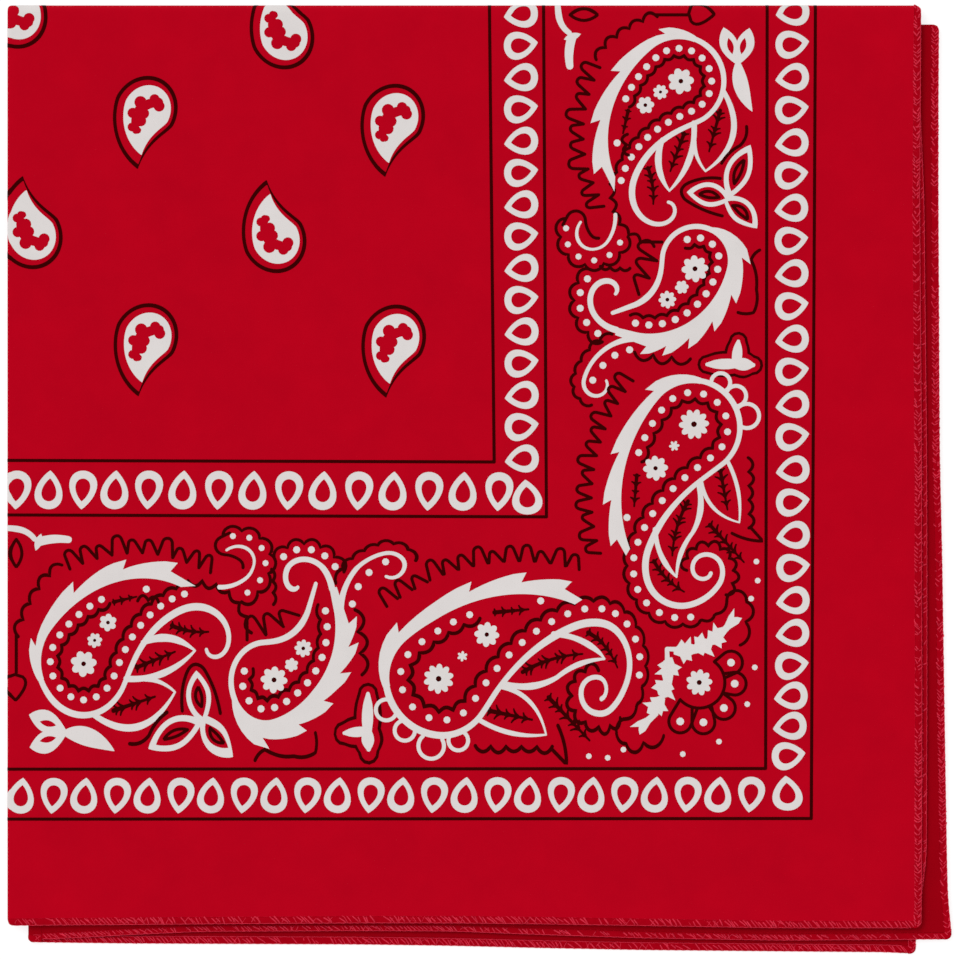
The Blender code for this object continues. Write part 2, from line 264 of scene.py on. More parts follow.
def facing(layer, across, down, lift):
    """Return the unit normals of a quarter's outward side."""
    reach = 0.05
    along = place(layer, across + reach, down, lift) - place(layer, across - reach, down, lift)
    aside = place(layer, across, down + reach, lift) - place(layer, across, down - reach, lift)
    return unit(np.cross(aside, along) * OUTWARD[layer])


# --- Materials ---
CLOTH_RED = (0.474, 0.0010, 0.0110, 1.0)
CLOTH_SHADE = (0.394, 0.0006, 0.0096, 1.0)
# The threads' red is lighter than the cloth's: partly their own tone, partly painted highlight
THREAD_TONE_AND_HIGHLIGHT = (0.860, 0.046, 0.095, 1.0)
THREAD_SHADE = (0.400, 0.003, 0.016, 1.0)
# Painted shade: the hem beads' red is darker than the cloth's, for the shade between their stitches
HEM_RED_IN_PAINTED_SHADE = (0.400, 0.0006, 0.0085, 1.0)
HEM_DARKER_IN_PAINTED_SHADE = (0.300, 0.0004, 0.0058, 1.0)
# Painted shade: a darker red for the cloth that lies in the shade between the layers
PAINTED_SHADE_RED = (0.322, 0.0004, 0.0060, 1.0)
PAINTED_SHADE_DARKER = (0.262, 0.0003, 0.0046, 1.0)
PRINT_WHITE = (0.712, 0.672, 0.660, 1.0)
PRINT_GREY = (0.620, 0.585, 0.574, 1.0)
PRINT_BLACK = (0.036, 0.0008, 0.0010, 1.0)
FLOOR_PALE = (0.28, 0.28, 0.28, 1.0)
FLOOR_GLOW = 0.78         # the floor is a light table, which leaves only faint shadows on it
WEAVE_PITCH = 0.42        # from one thread of the weave to the next
CLOTH_MOTTLE = 80.0       # mottles in a metre
THREAD_MOTTLE = 700.0


def make_material(name, colour, shade, roughness, sheen, weave, mottles=CLOTH_MOTTLE):
    """Return a cloth material, mottled between two colours, with a plain weave as its bump."""
    material = bpy.data.materials.new(name)
    material.use_nodes = True
    nodes = material.node_tree.nodes
    links = material.node_tree.links
    shader = nodes["Principled BSDF"]
    shader.inputs["Roughness"].default_value = roughness
    shader.inputs["Specular IOR Level"].default_value = 0.12
    shader.inputs["Specular Tint"].default_value = colour
    shader.inputs["Sheen Weight"].default_value = sheen
    shader.inputs["Sheen Tint"].default_value = colour
    shader.inputs["Sheen Roughness"].default_value = 0.6
    where = nodes.new("ShaderNodeTexCoord")
    mottle = nodes.new("ShaderNodeTexNoise")
    mottle.inputs["Scale"].default_value = mottles
    mottle.inputs["Detail"].default_value = 3.0
    mottle.inputs["Roughness"].default_value = 0.6
    links.new(where.outputs["Object"], mottle.inputs["Vector"])
    mixer = nodes.new("ShaderNodeMix")
    mixer.data_type = "RGBA"
    mixer.inputs["A"].default_value = shade
    mixer.inputs["B"].default_value = colour
    links.new(mottle.outputs["Fac"], mixer.inputs["Factor"])
    links.new(mixer.outputs["Result"], shader.inputs["Base Color"])
    if weave:
        waves = []
        for direction in ("X", "Y"):
            wave = nodes.new("ShaderNodeTexWave")
            wave.bands_direction = direction
            wave.inputs["Scale"].default_value = 0.314 / (WEAVE_PITCH * MM)
            wave.inputs["Distortion"].default_value = 0.6
            wave.inputs["Detail"].default_value = 1.0
            links.new(where.outputs["Object"], wave.inputs["Vector"])
            waves.append(wave)
        crossing = nodes.new("ShaderNodeMath")
        crossing.operation = "MULTIPLY"
        links.new(waves[0].outputs["Fac"], crossing.inputs[0])
        links.new(waves[1].outputs["Fac"], crossing.inputs[1])
        bump = nodes.new("ShaderNodeBump")
        bump.inputs["Strength"].default_value = weave
        bump.inputs["Distance"].default_value = 0.05 * MM
        links.new(crossing.outputs["Value"], bump.inputs["Height"])
        links.new(bump.outputs["Normal"], shader.inputs["Normal"])
    return material


MATERIALS = {
    "red_cotton": make_material("red_cotton", CLOTH_RED, CLOTH_SHADE, 0.88, 0.05, 0.5),
    "red_thread": make_material("red_thread", THREAD_TONE_AND_HIGHLIGHT, THREAD_SHADE, 0.75, 0.10, 0.0, THREAD_MOTTLE),
    "white_print": make_material("white_print", PRINT_WHITE, PRINT_GREY, 0.80, 0.0, 0.4),
    "black_print": make_material("black_print", PRINT_BLACK, PRINT_BLACK, 0.80, 0.0, 0.4),
}
# The hem beads' cotton, painted darker for the shade between the stitches
HEM_PAINTED_SHADE_MATERIAL = make_material("hem_cotton_in_painted_shade", HEM_RED_IN_PAINTED_SHADE, HEM_DARKER_IN_PAINTED_SHADE, 0.90, 0.0, 0.0, THREAD_MOTTLE)
# Painted shade: cotton that lies in the shade between the layers
PAINTED_SHADE_MATERIAL = make_material("cotton_painted_shade_between_layers", PAINTED_SHADE_RED, PAINTED_SHADE_DARKER, 0.90, 0.0, 0.5)


def add_object(name, data):
    """Return a new object in the scene."""
    added = bpy.data.objects.new(name, data)
    bpy.context.scene.collection.objects.link(added)
    return added


def add_piece(name, points, faces, slot, normals=None):
    """Make one piece of the bandana from points in metres and faces."""
    mesh = bpy.data.meshes.new(name)
    mesh.from_pydata([tuple(point) for point in points], [], faces)
    mesh.materials.append(MATERIALS[slot])
    mesh.shade_smooth()
    if normals is not None:
        mesh.normals_split_custom_set_from_vertices([tuple(normal) for normal in normals])
    piece = add_object(name, mesh)
    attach(piece, "root")
    return piece


# --- The four quarters ---
FIELD_STEPS = 72          # faces across the level cloth
BEND_STEPS = 10           # faces round a fold
SHADED_BEND = 0.4         # the share of a side fold from which the turned-under cloth is painted in shade
CLOTH_CREASE = 50.0       # faces that meet at more degrees than this show an edge
HEM_CREASE = 60.0
HEMS = (
    ("top", "right"), ("top", "near"), ("second", "right"), ("third", "right"), ("third", "near"),
    ("bottom", "right"), ("bottom", "near"),
)


def round_fold(start, radius, turn, steps):
    """Return distances along the cloth on a turned-under stretch, in steps, and on the fold after it."""
    half_turn = math.pi * radius
    turned = start - half_turn - np.linspace(turn, 0.0, steps + 1)[:-1]
    return np.concatenate([turned, start - half_turn * np.linspace(1.0, 0.0, BEND_STEPS + 1)[:-1]])


def stations(start, end, fold, turn):
    """Return distances along the cloth: a turned-under stretch, a fold, then the level field."""
    field = np.linspace(start, end, FIELD_STEPS + 1)
    return np.concatenate([round_fold(start, fold[1], turn, 2), field]) if fold else field


def stretched(places, start, end, new_end):
    """Return places with those past the start spread, so that the end comes to lie at a new end."""
    share = (places - start) / (end - start)
    return np.where(places > start, start + share * (new_end - start), places)


def shell_faces(kept):
    """Return the faces of a thin closed shell, over the kept cells of a grid of points.

    Its outer points are numbered first, row by row, then its inner ones. Each cell has its outer
    face and then its inner one, and the faces of the rim come last.
    """
    columns = kept.shape[1] + 1
    count = (kept.shape[0] + 1) * columns
    faces = []
    rim = {}
    for row, column in np.argwhere(kept):
        corner = int(row * columns + column)
        loop = [corner, corner + columns, corner + columns + 1, corner + 1]
        faces.append(loop)
        faces.append([count + number for number in reversed(loop)])
        for start, end in zip(loop, loop[1:] + loop[:1]):
            if rim.pop((end, start), None) is None:
                rim[(start, end)] = True
    return faces + [[end, start, count + start, count + end] for start, end in rim]


def make_quarter(layer, node):
    """Make one quarter of the cloth as a thin closed shell, with its folds, inside its hems."""
    side_start = SIDE_START[layer]
    end_start = EDGE_START[layer]
    end_turn = END_TURN_UNDER if layer == "top" else TURN_UNDER
    inset = CLOTH_INSET if (layer, "near") in HEMS else 0.0
    across_line = stations(side_start, RIGHT[layer](0.0) - CLOTH_INSET, SIDE_FOLD.get(layer), TURN_UNDER)
    down_line = stations(end_start, NEAR[layer](0.0) - inset, END_FOLD.get(layer), end_turn)
    across, down = np.meshgrid(across_line, down_line)
    across = stretched(across, side_start, across_line[-1], RIGHT[layer](down) - CLOTH_INSET)
    down = stretched(down, end_start, down_line[-1], NEAR[layer](across) - inset)
    across_middle = 0.5 * (across_line[1:] + across_line[:-1])
    down_middle = 0.5 * (down_line[1:] + down_line[:-1])
    kept = np.ones((len(down_middle), len(across_middle)), bool)
    if layer == "third":
        beside = across_middle > RIGHT["second"](0.0) - HEM_WIDTH
        kept &= (down_middle > END_START["third"])[:, None] | beside[None, :]
    points = np.concatenate([place(layer, across, down, lift).reshape(-1, 3) for lift in FACE[layer]])
    used, faces = np.unique(shell_faces(kept), return_inverse=True)
    faces = faces.reshape(-1, 4)
    if OUTWARD[layer] < 0.0:
        faces = faces[:, ::-1]
    piece = add_piece(layer + "_cloth", points[used], faces.tolist(), "red_cotton")
    piece.data.set_sharp_from_angle(angle=math.radians(CLOTH_CREASE))
    # The lower quarters' upward faces, and the bottom one's cloth turned under past its side fold, are
    # painted in shade
    if OUTWARD[layer] < 0.0:
        piece.data.materials.append(PAINTED_SHADE_MATERIAL)
        shade_start = SIDE_START["bottom"] - SHADED_BEND * math.pi * SIDE_BEND
        for number, (_, column) in enumerate(np.argwhere(kept)):
            piece.data.polygons[2 * number].material_index = int(across_middle[column] < shade_start)
            piece.data.polygons[2 * number + 1].material_index = 1
    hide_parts(node)
    return piece


# The frame's node that each quarter stands for
NODES = {
    "top": "top_quarter", "second": "inner_layers", "third": "inner_layers", "bottom": "bottom_quarter",
}
quarters = {layer: make_quarter(layer, NODES[layer]) for layer in LAYERS}


# --- Hems and their stitches ---
def hem_ends(layer, side):
    """Return where a hem starts, seen from above, and where it ends."""
    if side == "right":
        start = {"top": -FAR_REACH, "bottom": END_START["bottom"]}.get(layer, INNER_EDGE)
        return start, float(NEAR[layer](RIGHT[layer](PAST_ENDS)))
    start = 0.0 if layer == "top" else LOWER_FOLD - HEM_LAP
    return start, float(RIGHT[layer](NEAR[layer](PAST_ENDS))) - HEM_WIDTH + HEM_LAP


def rounding(layer, side, along):
    """Return how much a hem narrows near its ends, which are rounded, seen from above."""
    start, end = hem_ends(layer, side)
    seen = along
    folds = END_FOLD if side == "right" else SIDE_FOLD
    if layer in folds and layer != "second":
        fold_start, radius = folds[layer]
        seen = fold_start - bend(fold_start - along, radius, HALF_CLOTH)[0]
    to_end = end - seen if side == "right" else np.full(np.shape(seen), HEM_CORNER)
    near_end = np.clip(np.minimum(seen - start, to_end), 0.0, HEM_CORNER)
    return HEM_CORNER - np.sqrt(HEM_CORNER ** 2 - (HEM_CORNER - near_end) ** 2)


def hem_point(layer, side, along, share, height):
    """Return the points of a hem, by the distance along it, the share of its width and its height."""
    along, share, height = np.broadcast_arrays(along, share, height)
    narrower = share * rounding(layer, side, along)
    if side == "right":
        down = along
        across = RIGHT[layer](down) - HEM_WIDTH * (1.0 - share) - narrower
        level = down > END_START[layer]
    else:
        across = along
        down = NEAR[layer](across) - HEM_WIDTH * (1.0 - share) - narrower
        level = across > SIDE_START[layer]
    crown = HEM_CROWN * np.sin(math.pi * share) * level if layer == "top" else 0.0
    lift = np.where(height > 0.0, height * (1.0 + 2.0 * crown), height)
    if layer == "top":
        lift = lift - HEM_DROOP * share ** 2 * level
    return place(layer, across, down, lift)


def hem_stations(layer, side):
    """Return distances along a hem, from its fold to its free end."""
    if side == "right":
        fold = END_FOLD[layer] if layer == "top" else None
        turn, start = END_TURN_UNDER, EDGE_START[layer]
    else:
        fold, turn, start = SIDE_FOLD.get(layer), TURN_UNDER, SIDE_START[layer]
    end = hem_ends(layer, side)[1]
    line = np.linspace(start, end, round((end - start) / HEM_STEP) + 1)
    curved = HEM_CORNER * (1.0 - np.cos(np.linspace(0.0, 0.5 * math.pi, 7)))
    if side == "right":
        line = np.concatenate([line[line < end - HEM_CORNER], end - curved[::-1]])
    if fold:
        return np.concatenate([round_fold(start, fold[1], turn, 1), line])
    return np.concatenate([start + curved, line[line > start + HEM_CORNER]])


def tube_faces(first, rows, sides):
    """Return the faces of a closed tube, whose rings of points follow each other from the first."""
    faces = []
    last = first + (rows - 1) * sides
    for low in range(first, last, sides):
        for corner in range(sides):
            after = (corner + 1) % sides
            faces.append([low + corner, low + after, low + sides + after, low + sides + corner])
    faces.append([first + corner for corner in range(sides - 1, -1, -1)])
    faces.append([last + corner for corner in range(sides)])
    return faces


def make_hem(layer, side):
    """Make the rounded bead of cloth that is the hem."""
    line = hem_stations(layer, side)
    section = np.array(HEM_SECTION)
    points = hem_point(layer, side, line[:, None], section[None, :, 0], section[None, :, 1])
    rows, columns = points.shape[:2]
    faces = tube_faces(0, rows, columns)
    if (side == "right") == (OUTWARD[layer] > 0.0):
        faces = [face[::-1] for face in faces]
    piece = add_piece(f"{layer}_hem_{side}_bead", points.reshape(-1, 3), faces, "red_cotton")
    # The bead takes the darker red of painted shade between its stitches
    piece.data.materials[0] = HEM_PAINTED_SHADE_MATERIAL
    # The third layer's near hem is painted in shade where it lies under the top one's edge
    if (layer, side) == ("third", "near"):
        piece.data.materials.append(PAINTED_SHADE_MATERIAL)
        for number in range((rows - 1) * columns):
            share = section[number % columns, 0]
            piece.data.polygons[number].material_index = int(share < SHADED)
    piece.data.set_sharp_from_angle(angle=math.radians(HEM_CREASE))
    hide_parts(f"{layer}_hem_{side}")
    return piece


def tube(lines, radius):
    """Return the points and faces of thin closed tubes along lines that lie about level."""
    count, length = lines.shape[:2]
    radius = np.broadcast_to(radius, count)[:, None, None, None]
    way = unit(np.gradient(lines, axis=1))
    aside = unit(np.cross(way, np.array([0.0, 0.0, 1.0])))
    upward = np.cross(aside, way)
    angles = np.arange(THREAD_SIDES)[:, None] * 2.0 * math.pi / THREAD_SIDES
    ring = np.cos(angles) * aside[:, :, None, :] + np.sin(angles) * upward[:, :, None, :]
    points = lines[:, :, None, :] + radius * ring
    faces = []
    for number in range(count):
        faces += tube_faces(number * length * THREAD_SIDES, length, THREAD_SIDES)
    return points.reshape(-1, 3), faces


# Where the stitches of the right hems start; the top quarter's go round the far fold, but not under it
STITCHED_BEND = 0.85      # the share of the far fold that they go round
STITCH_INSET = 0.3        # from a hem's start to its first stitch
STITCH_START = {
    "top": END_REACH - STITCHED_BEND * math.pi * END_BEND,
    "second": END_START["second"],
    "third": INNER_EDGE + STITCH_INSET,
    "bottom": INNER_FOLD,
}
STITCHED = (0.03, 0.99)   # the stretch across a hem that stitches lie on
STITCH_HEIGHT = 0.50      # the stitches' middle over the hem's, where the hem is highest
RUNNING_SHARES = (0.06, 0.95)   # where across the hem the two running threads lie
RUNNING_HEIGHT = 0.36
TURNED_STITCHES_END = 1.2       # from the bottom hem's turned-under stitches to its level cloth
# How uneven the stitches are: spreads of their reach, lean, place and height, and range of thickness
REACH_SPREAD = 0.11
LEAN_SPREAD = 0.30
PLACE_SPREAD = 0.16
HEIGHT_SPREAD = 0.06
THICKNESS = (0.8, 1.15)
chance = np.random.default_rng(11)


def make_stitches(name, layer, side, start, end, up):
    """Make the overlock stitches on one face of a hem, and the two threads that hold them."""
    pitch = CHEVRON_PITCH if side == "right" else SLASH_PITCH
    starts = np.arange(start + STITCH_INSET, end - pitch, pitch)
    starts = starts + 0.10 * np.sin(starts * 1.7) + 0.07 * np.sin(starts * 0.61 + 1.0)
    count = len(starts)
    share, ahead = np.array(STITCH).T
    tubes = []
    for low, high, lean, radius, kept in STITCHES[side]:
        reach = np.array([low, high]) + chance.normal(0.0, REACH_SPREAD, (count, 2))
        # The third layer's near hem has no slanting stitches on its painted-shade share
        if (layer, side) == ("third", "near"):
            reach = np.maximum(reach, SHADED)
        across = np.clip(reach[:, :1] + (reach[:, 1:] - reach[:, :1]) * share[None, :], *STITCHED)
        leans = lean * chance.normal(1.0, LEAN_SPREAD, (count, 1))
        along = starts[:, None] + chance.normal(0.0, PLACE_SPREAD, (count, 1))
        along = along + pitch * leans * ahead[None, :]
        bulge = np.sin(math.pi * (0.12 + 0.76 * across)) ** 0.35   # as a hem's section bulges
        height = STITCH_HEIGHT * bulge + chance.normal(0.0, HEIGHT_SPREAD, (count, 1))
        worn = WEAR_LEAVES + WEAR_VARIES * np.sin(starts / WEAR_LENGTH + WEAR_PHASE[layer])
        chosen = chance.random(count) < kept * worn * FEW_KEPT.get(layer, 1.0)
        chosen &= (along.min(axis=1) > start) & (along.max(axis=1) < end)
        slanting = hem_point(layer, side, along[chosen], across[chosen], up * height[chosen])
        tubes.append(tube(slanting, radius * MM * chance.uniform(*THICKNESS, chosen.sum())))
    runs = np.arange(starts[0], starts[-1], pitch / 2.0)
    for middle in RUNNING_SHARES:
        weave = middle + 0.02 * np.sin(runs * math.pi / pitch)
        running = hem_point(layer, side, runs[None, :], weave[None, :], up * RUNNING_HEIGHT)
        tubes.append(tube(running, FINE_THREAD * MM))
    points = []
    faces = []
    for more_points, more_faces in tubes:
        faces += [[corner + len(points) for corner in face] for face in more_faces]
        points += list(more_points)
    return add_piece(name, points, faces, "red_thread")


sewn = {layer: [] for layer in quarters}
for layer, side in HEMS:
    sewn[layer].append(make_hem(layer, side))
    start = STITCH_START[layer] if side == "right" else SIDE_START[layer] - TURN_UNDER * (layer == "top")
    name = f"{layer}_hem_{side}_stitches"
    sewn[layer].append(make_stitches(name, layer, side, start, hem_ends(layer, side)[1], OUTWARD[layer]))
turned = SIDE_START["bottom"] - math.pi * SIDE_BEND - TURN_UNDER
sewn["bottom"].append(make_stitches("bottom_hem_near_turned_stitches", "bottom", "near", turned,
                                    SIDE_START["bottom"] - TURNED_STITCHES_END, 1.0))

# --- Drawing the print ---
# Motifs are built from circles, arcs, tapers and counts, placed and sized like the real print's.
# Headings are in degrees, 0 to the right and 90 towards the near hem, and turns are clockwise.

CURVE_STEP = 0.8          # from one point of a line to the next
FINE_LINE = 0.95          # width of a fine black line
ARCH_ROUNDNESS = 0.75     # the power that fills out the arches of scallops
INKS = ("bare", "white", "black")   # "bare" is no ink
shapes = []               # (ink, closed loop), each painted over those before it


def lengths_along(line):
    """Return the distance travelled along a line at each of its points."""
    return np.concatenate([[0.0], np.cumsum(np.linalg.norm(np.diff(line, axis=0), axis=1))])


def places_at(wanted, travelled, line):
    """Return a line's points at the wanted distances, from the distance travelled at each point."""
    return np.column_stack([np.interp(wanted, travelled, column) for column in line.T])


def part(line, start, end, count=0):
    """Return the stretch of a line between two shares of its length, in even steps."""
    travelled = lengths_along(line)
    count = count or max(3, round(abs(end - start) * travelled[-1] / CURVE_STEP) + 1)
    return places_at(np.linspace(start, end, count) * travelled[-1], travelled, line)


def normals(line):
    """Return the unit normals on the left of a line's way."""
    way = unit(np.gradient(line, axis=0))
    return np.column_stack([way[:, 1], -way[:, 0]])


def offset(line, distance):
    """Return a line moved to its left, by one distance or by one for each point."""
    return line + np.broadcast_to(distance, len(line))[:, None] * normals(line)


def joined(*lines):
    """Return lines joined end to end, in even steps."""
    return part(np.concatenate(lines), 0.0, 1.0)


def bow(start, end, sag=0.0):
    """Return an arc between two points that bulges to its left by the sag."""
    start, end = np.array(start, float), np.array(end, float)
    reach = np.linalg.norm(end - start)
    share = np.linspace(0.0, 1.0, max(5, round(reach / CURVE_STEP) + 1))[:, None]
    left = np.array([end[1] - start[1], start[0] - end[0]]) / reach
    return start + share * (end - start) + 4.0 * share * (1.0 - share) * sag * left


def bows(start, *steps):
    """Return arcs joined through points, each step with its point and its sag."""
    lines = []
    for x, y, sag in steps:
        lines.append(bow(start, (x, y), sag))
        start = (x, y)
    return joined(*lines)


def travel(start, heading, legs):
    """Return a line of arcs, each with its length and its turn."""
    points = [np.array(start, float)]
    angle = math.radians(heading)
    for length, turn in legs:
        steps = max(3, round(length / CURVE_STEP))
        for _ in range(steps):
            angle += 0.5 * math.radians(turn) / steps
            points.append(points[-1] + length / steps * np.array([math.cos(angle), math.sin(angle)]))
            angle += 0.5 * math.radians(turn) / steps
    return np.array(points)


def curl(start, heading, turn, first, last, steps=12):
    """Return a spiral that turns through an angle while its radius goes from first to last."""
    each = turn / steps
    radii = first * (last / first) ** (np.arange(steps) / (steps - 1))
    return travel(start, heading, [(math.radians(abs(each)) * radius, each) for radius in radii])


def lengthened(line, length):
    """Return a line carried straight on past its end."""
    return np.concatenate([line, line[-1] + ahead_of(line) * np.linspace(0.0, length, 6)[1:, None]])


def ahead_of(line):
    """Return the unit vector of a line's way at its end."""
    return unit(line[-1] - line[-3])


def towards(heading):
    """Return the unit vector at a heading."""
    return np.array([math.cos(math.radians(heading)), math.sin(math.radians(heading))])


def way_out(line):
    """Return the last point of a line and its heading there."""
    x, y = line[-1] - line[-2]
    return line[-1], math.degrees(math.atan2(y, x))


def arc(centre, radius, start, end):
    """Return a stretch of a circle between two headings from its centre."""
    count = max(8, round(abs(math.radians(end - start)) * radius / CURVE_STEP) + 1)
    angles = np.radians(np.linspace(start, end, count))
    return np.array(centre) + radius * np.column_stack([np.cos(angles), np.sin(angles)])


def paint(ink, loop):
    """Paint a closed shape."""
    shapes.append((ink, loop))


def paint_line(ink, line, *widths):
    """Paint a line with round ends, of widths given at even places along it."""
    half = 0.5 * np.interp(np.linspace(0.0, 1.0, len(line)), np.linspace(0.0, 1.0, len(widths)), widths)
    left = offset(line, half)
    right = offset(line, -half)
    ends = []
    for place_on, step in ((-1, 1.0), (0, -1.0)):
        aside = (left - line)[place_on] * step
        ahead = np.array([-aside[1], aside[0]])
        turns = np.radians((60.0, 30.0, 0.0, -30.0, -60.0))
        ends.append([line[place_on] + math.cos(turn) * ahead + math.sin(turn) * aside for turn in turns])
    paint(ink, np.concatenate([left, ends[0], right[::-1], ends[1]]))


def black(line, *widths):
    """Paint a black line, a fine one where no widths are given."""
    paint_line("black", line, *(widths or (FINE_LINE,)))


def white(line, *widths):
    """Paint a white line."""
    paint_line("white", line, *widths)


def redraw(first, change):
    """Change each shape from the first one on."""
    for number in range(first, len(shapes)):
        ink, loop = shapes[number]
        shapes[number] = (ink, change(loop))


def spot(x, y, radius=0.9, ink="white"):
    """Paint one round spot."""
    paint(ink, arc((x, y), radius, 0.0, 330.0))


def blade(start, end, width, sag=0.0, fullest=0.5):
    """Return the outline of a leaf that is pointed at both ends, widest at a share of its length."""
    axis = bow(start, end, sag)
    share = np.linspace(0.0, 1.0, len(axis))
    swell = np.sin(math.pi * share ** (math.log(0.5) / math.log(fullest))) ** 0.85
    return np.concatenate([offset(axis, 0.5 * width * swell), offset(axis, -0.5 * width * swell)[::-1]])


def flower(x, y, radius, petals, eye=0.0, heart=0.66):
    """Paint a round flower, with a black eye. heart is the share of its radius between petals."""
    angles = np.linspace(0.0, 2.0 * math.pi, petals * 8 + 1)[:-1]
    reach = radius * (heart + (1.0 - heart) * np.abs(np.cos(0.5 * petals * angles + 0.3)) ** 0.7)
    paint("white", np.column_stack([x + reach * np.cos(angles), y + reach * np.sin(angles)]))
    if eye:
        spot(x, y, eye, "black")


def scallops(line, pitch, depth):
    """Paint a fine black line of round arches that bulge to the left of a line, or to its right."""
    count = max(2, round(lengths_along(line)[-1] / pitch))
    line = part(line, 0.0, 1.0, count * 10 + 1)
    places = np.arange(len(line))
    arches = np.abs(np.sin(math.pi * places / 10.0)) ** ARCH_ROUNDNESS
    arches = arches * (1.0 + 0.15 * np.sin(1.9 * np.floor(places / 10.0)))
    black(offset(line, depth * (arches - 0.5)))


def beaded(line, stand, count, radius=1.08, apart=2.4, depth=1.2):
    """Paint spots that stand off a line and, past them, a black line with an arch round each."""
    spots = offset(line, stand)
    travelled = lengths_along(spots)
    fine = np.linspace(0.0, travelled[-1], 10 * count + 1)
    row = places_at(fine, travelled, spots)
    left = places_at(fine, travelled, normals(line))
    arches = np.abs(np.sin(0.1 * math.pi * np.arange(len(row)))) ** ARCH_ROUNDNESS
    away = math.copysign(1.0, stand) * (apart + depth * (arches - 0.5))
    black(row + away[:, None] * left)
    for x, y in row[5::10]:
        spot(x, y, radius)


def spikes(line, near, far, count):
    """Paint a black line of long round-ended teeth that stand off a line.

    near and far are how far to its left the teeth's roots and tips are, at its start and end.
    """
    roots = offset(part(line, 0.0, 1.0, count + 1), np.linspace(*near, count + 1))
    tips = offset(part(line, 0.0, 1.0, 4 * count + 1), np.linspace(*far, 4 * count + 1))
    for number in range(count):
        reach = 0.80 + 0.20 * math.sin(2.3 * number + 0.7)
        start, end = roots[number], roots[number + 1]
        before, middle, after = (start + reach * (tips[4 * number + step] - start) for step in (1, 2, 3))
        middle = middle + 0.12 * (middle - start)
        rough = np.array([start, 0.5 * (start + before), before, middle, after, 0.5 * (end + after), end])
        smooth = part(rough, 0.0, 1.0, 25)
        smooth[1:-1] = (smooth[:-2] + smooth[1:-1] + smooth[2:]) / 3.0
        black(smooth)


def twig(start, end, barbs, sag=0.0, reach=2.3):
    """Paint a black twig with short barbs."""
    stem = bow(start, end, sag)
    black(stem, 1.15, 0.55)
    left = normals(stem)
    for number in range(barbs):
        at = round((number + 0.5) / barbs * (len(stem) - 2))
        ahead = np.array([-left[at][1], left[at][0]])
        for sign in (-1.0, 1.0):
            tip = stem[at] - reach * (0.6 * ahead + 0.75 * sign * left[at]) * (0.8 + 0.3 * (number % 2))
            black(bow(stem[at], tip, -0.2 * sign), 1.0, 0.45)


def comma(head, radius, lean, length, turn, neck, long_head=1.0):
    """Return the two sides of a comma, from its head to its tail, and the arc round its head.

    Its middle leaves the head at a heading, the lean, and turns towards the inner side. The arc
    runs from the outer side to the inner one, and may be longer than round.
    """
    share = np.linspace(0.0, 1.0, 49)
    heading = np.radians(lean + turn * share ** 1.2)
    steps = np.column_stack([np.cos(heading), np.sin(heading)]) * length / 48.0
    moved = np.cumsum(0.5 * (steps[1:] + steps[:-1]), axis=0)
    middle = np.array(head) + np.concatenate([[[0.0, 0.0]], moved])
    half = neck + (radius - neck) * (1.0 - share ** 1.4)
    inward = -math.copysign(1.0, turn)
    start = lean + 90.0 * inward
    front = arc(head, radius, start, start + 180.0 * inward) - head
    front = head + front + (long_head - 1.0) * np.outer(front @ towards(lean), towards(lean))
    return offset(middle, -inward * half), front, offset(middle, inward * half)


def crest(line, side, ring, tips, notch, last, sweep):
    """Paint a leafy crest on one side of a line: it widens to each tip, then steps back.

    Each tip has its share of the line and its height. The notch after it is a share of that height,
    the tips sweep forward, and the last leaf goes on past the line's end.
    """
    travelled = lengths_along(line)
    total = travelled[-1]
    left = normals(line) * side
    rise = np.linspace(0.0, 1.0, 8)[:-1]
    steps = []
    here, low = 0.0, 0.5 * ring
    for share, height in tips:
        steps += [(here + step * (share - here), low + step * (height - low)) for step in rise]
        steps.append((share + sweep / total, height))
        here, low = share, notch * height
        steps.append((here, low))
    steps.append((1.0 + last / total, 0.5 * low))
    shares, heights = np.array(steps).T
    on_line = places_at(shares, travelled / total, line)
    outer = on_line + heights[:, None] * places_at(shares, travelled / total, left)
    outer = outer + np.maximum(0.0, shares - 1.0)[:, None] * total * ahead_of(line)
    paint("white", np.concatenate([offset(line, -0.5 * side * ring), outer[::-1]]))


# --- The motifs of the border, drawn on its right-hand arm ---
# Widths along the white lines of the first paisley and the third one
FIRST_WIDTHS = (1.5, 1.7, 1.5, 1.4, 1.6, 1.9, 1.9, 1.4, 1.0)
THIRD_WIDTHS = (1.5, 1.7, 1.7, 1.5, 1.4, 1.6, 2.0, 2.0, 1.9, 1.8, 1.5, 1.3, 1.2)
# The arcs of the third paisley's tail, each with its length and its turn
COIL = (
    (9.4, -35.0), (17.0, -90.0), (10.6, -40.0), (6.0, -50.0), (7.6, -90.0), (6.4, -90.0), (4.9, -90.0),
    (2.4, -60.0),
)
# The loops round the third paisley's head: their headings from its middle and their radii
RIGHT_LOOPS = ((-58.0, 2.9), (-36.0, 3.1), (-12.0, 3.7))
NEAR_LOOPS = ((-60.0, 3.2), (-36.0, 3.1), (-10.0, 3.9), (16.0, 3.0))


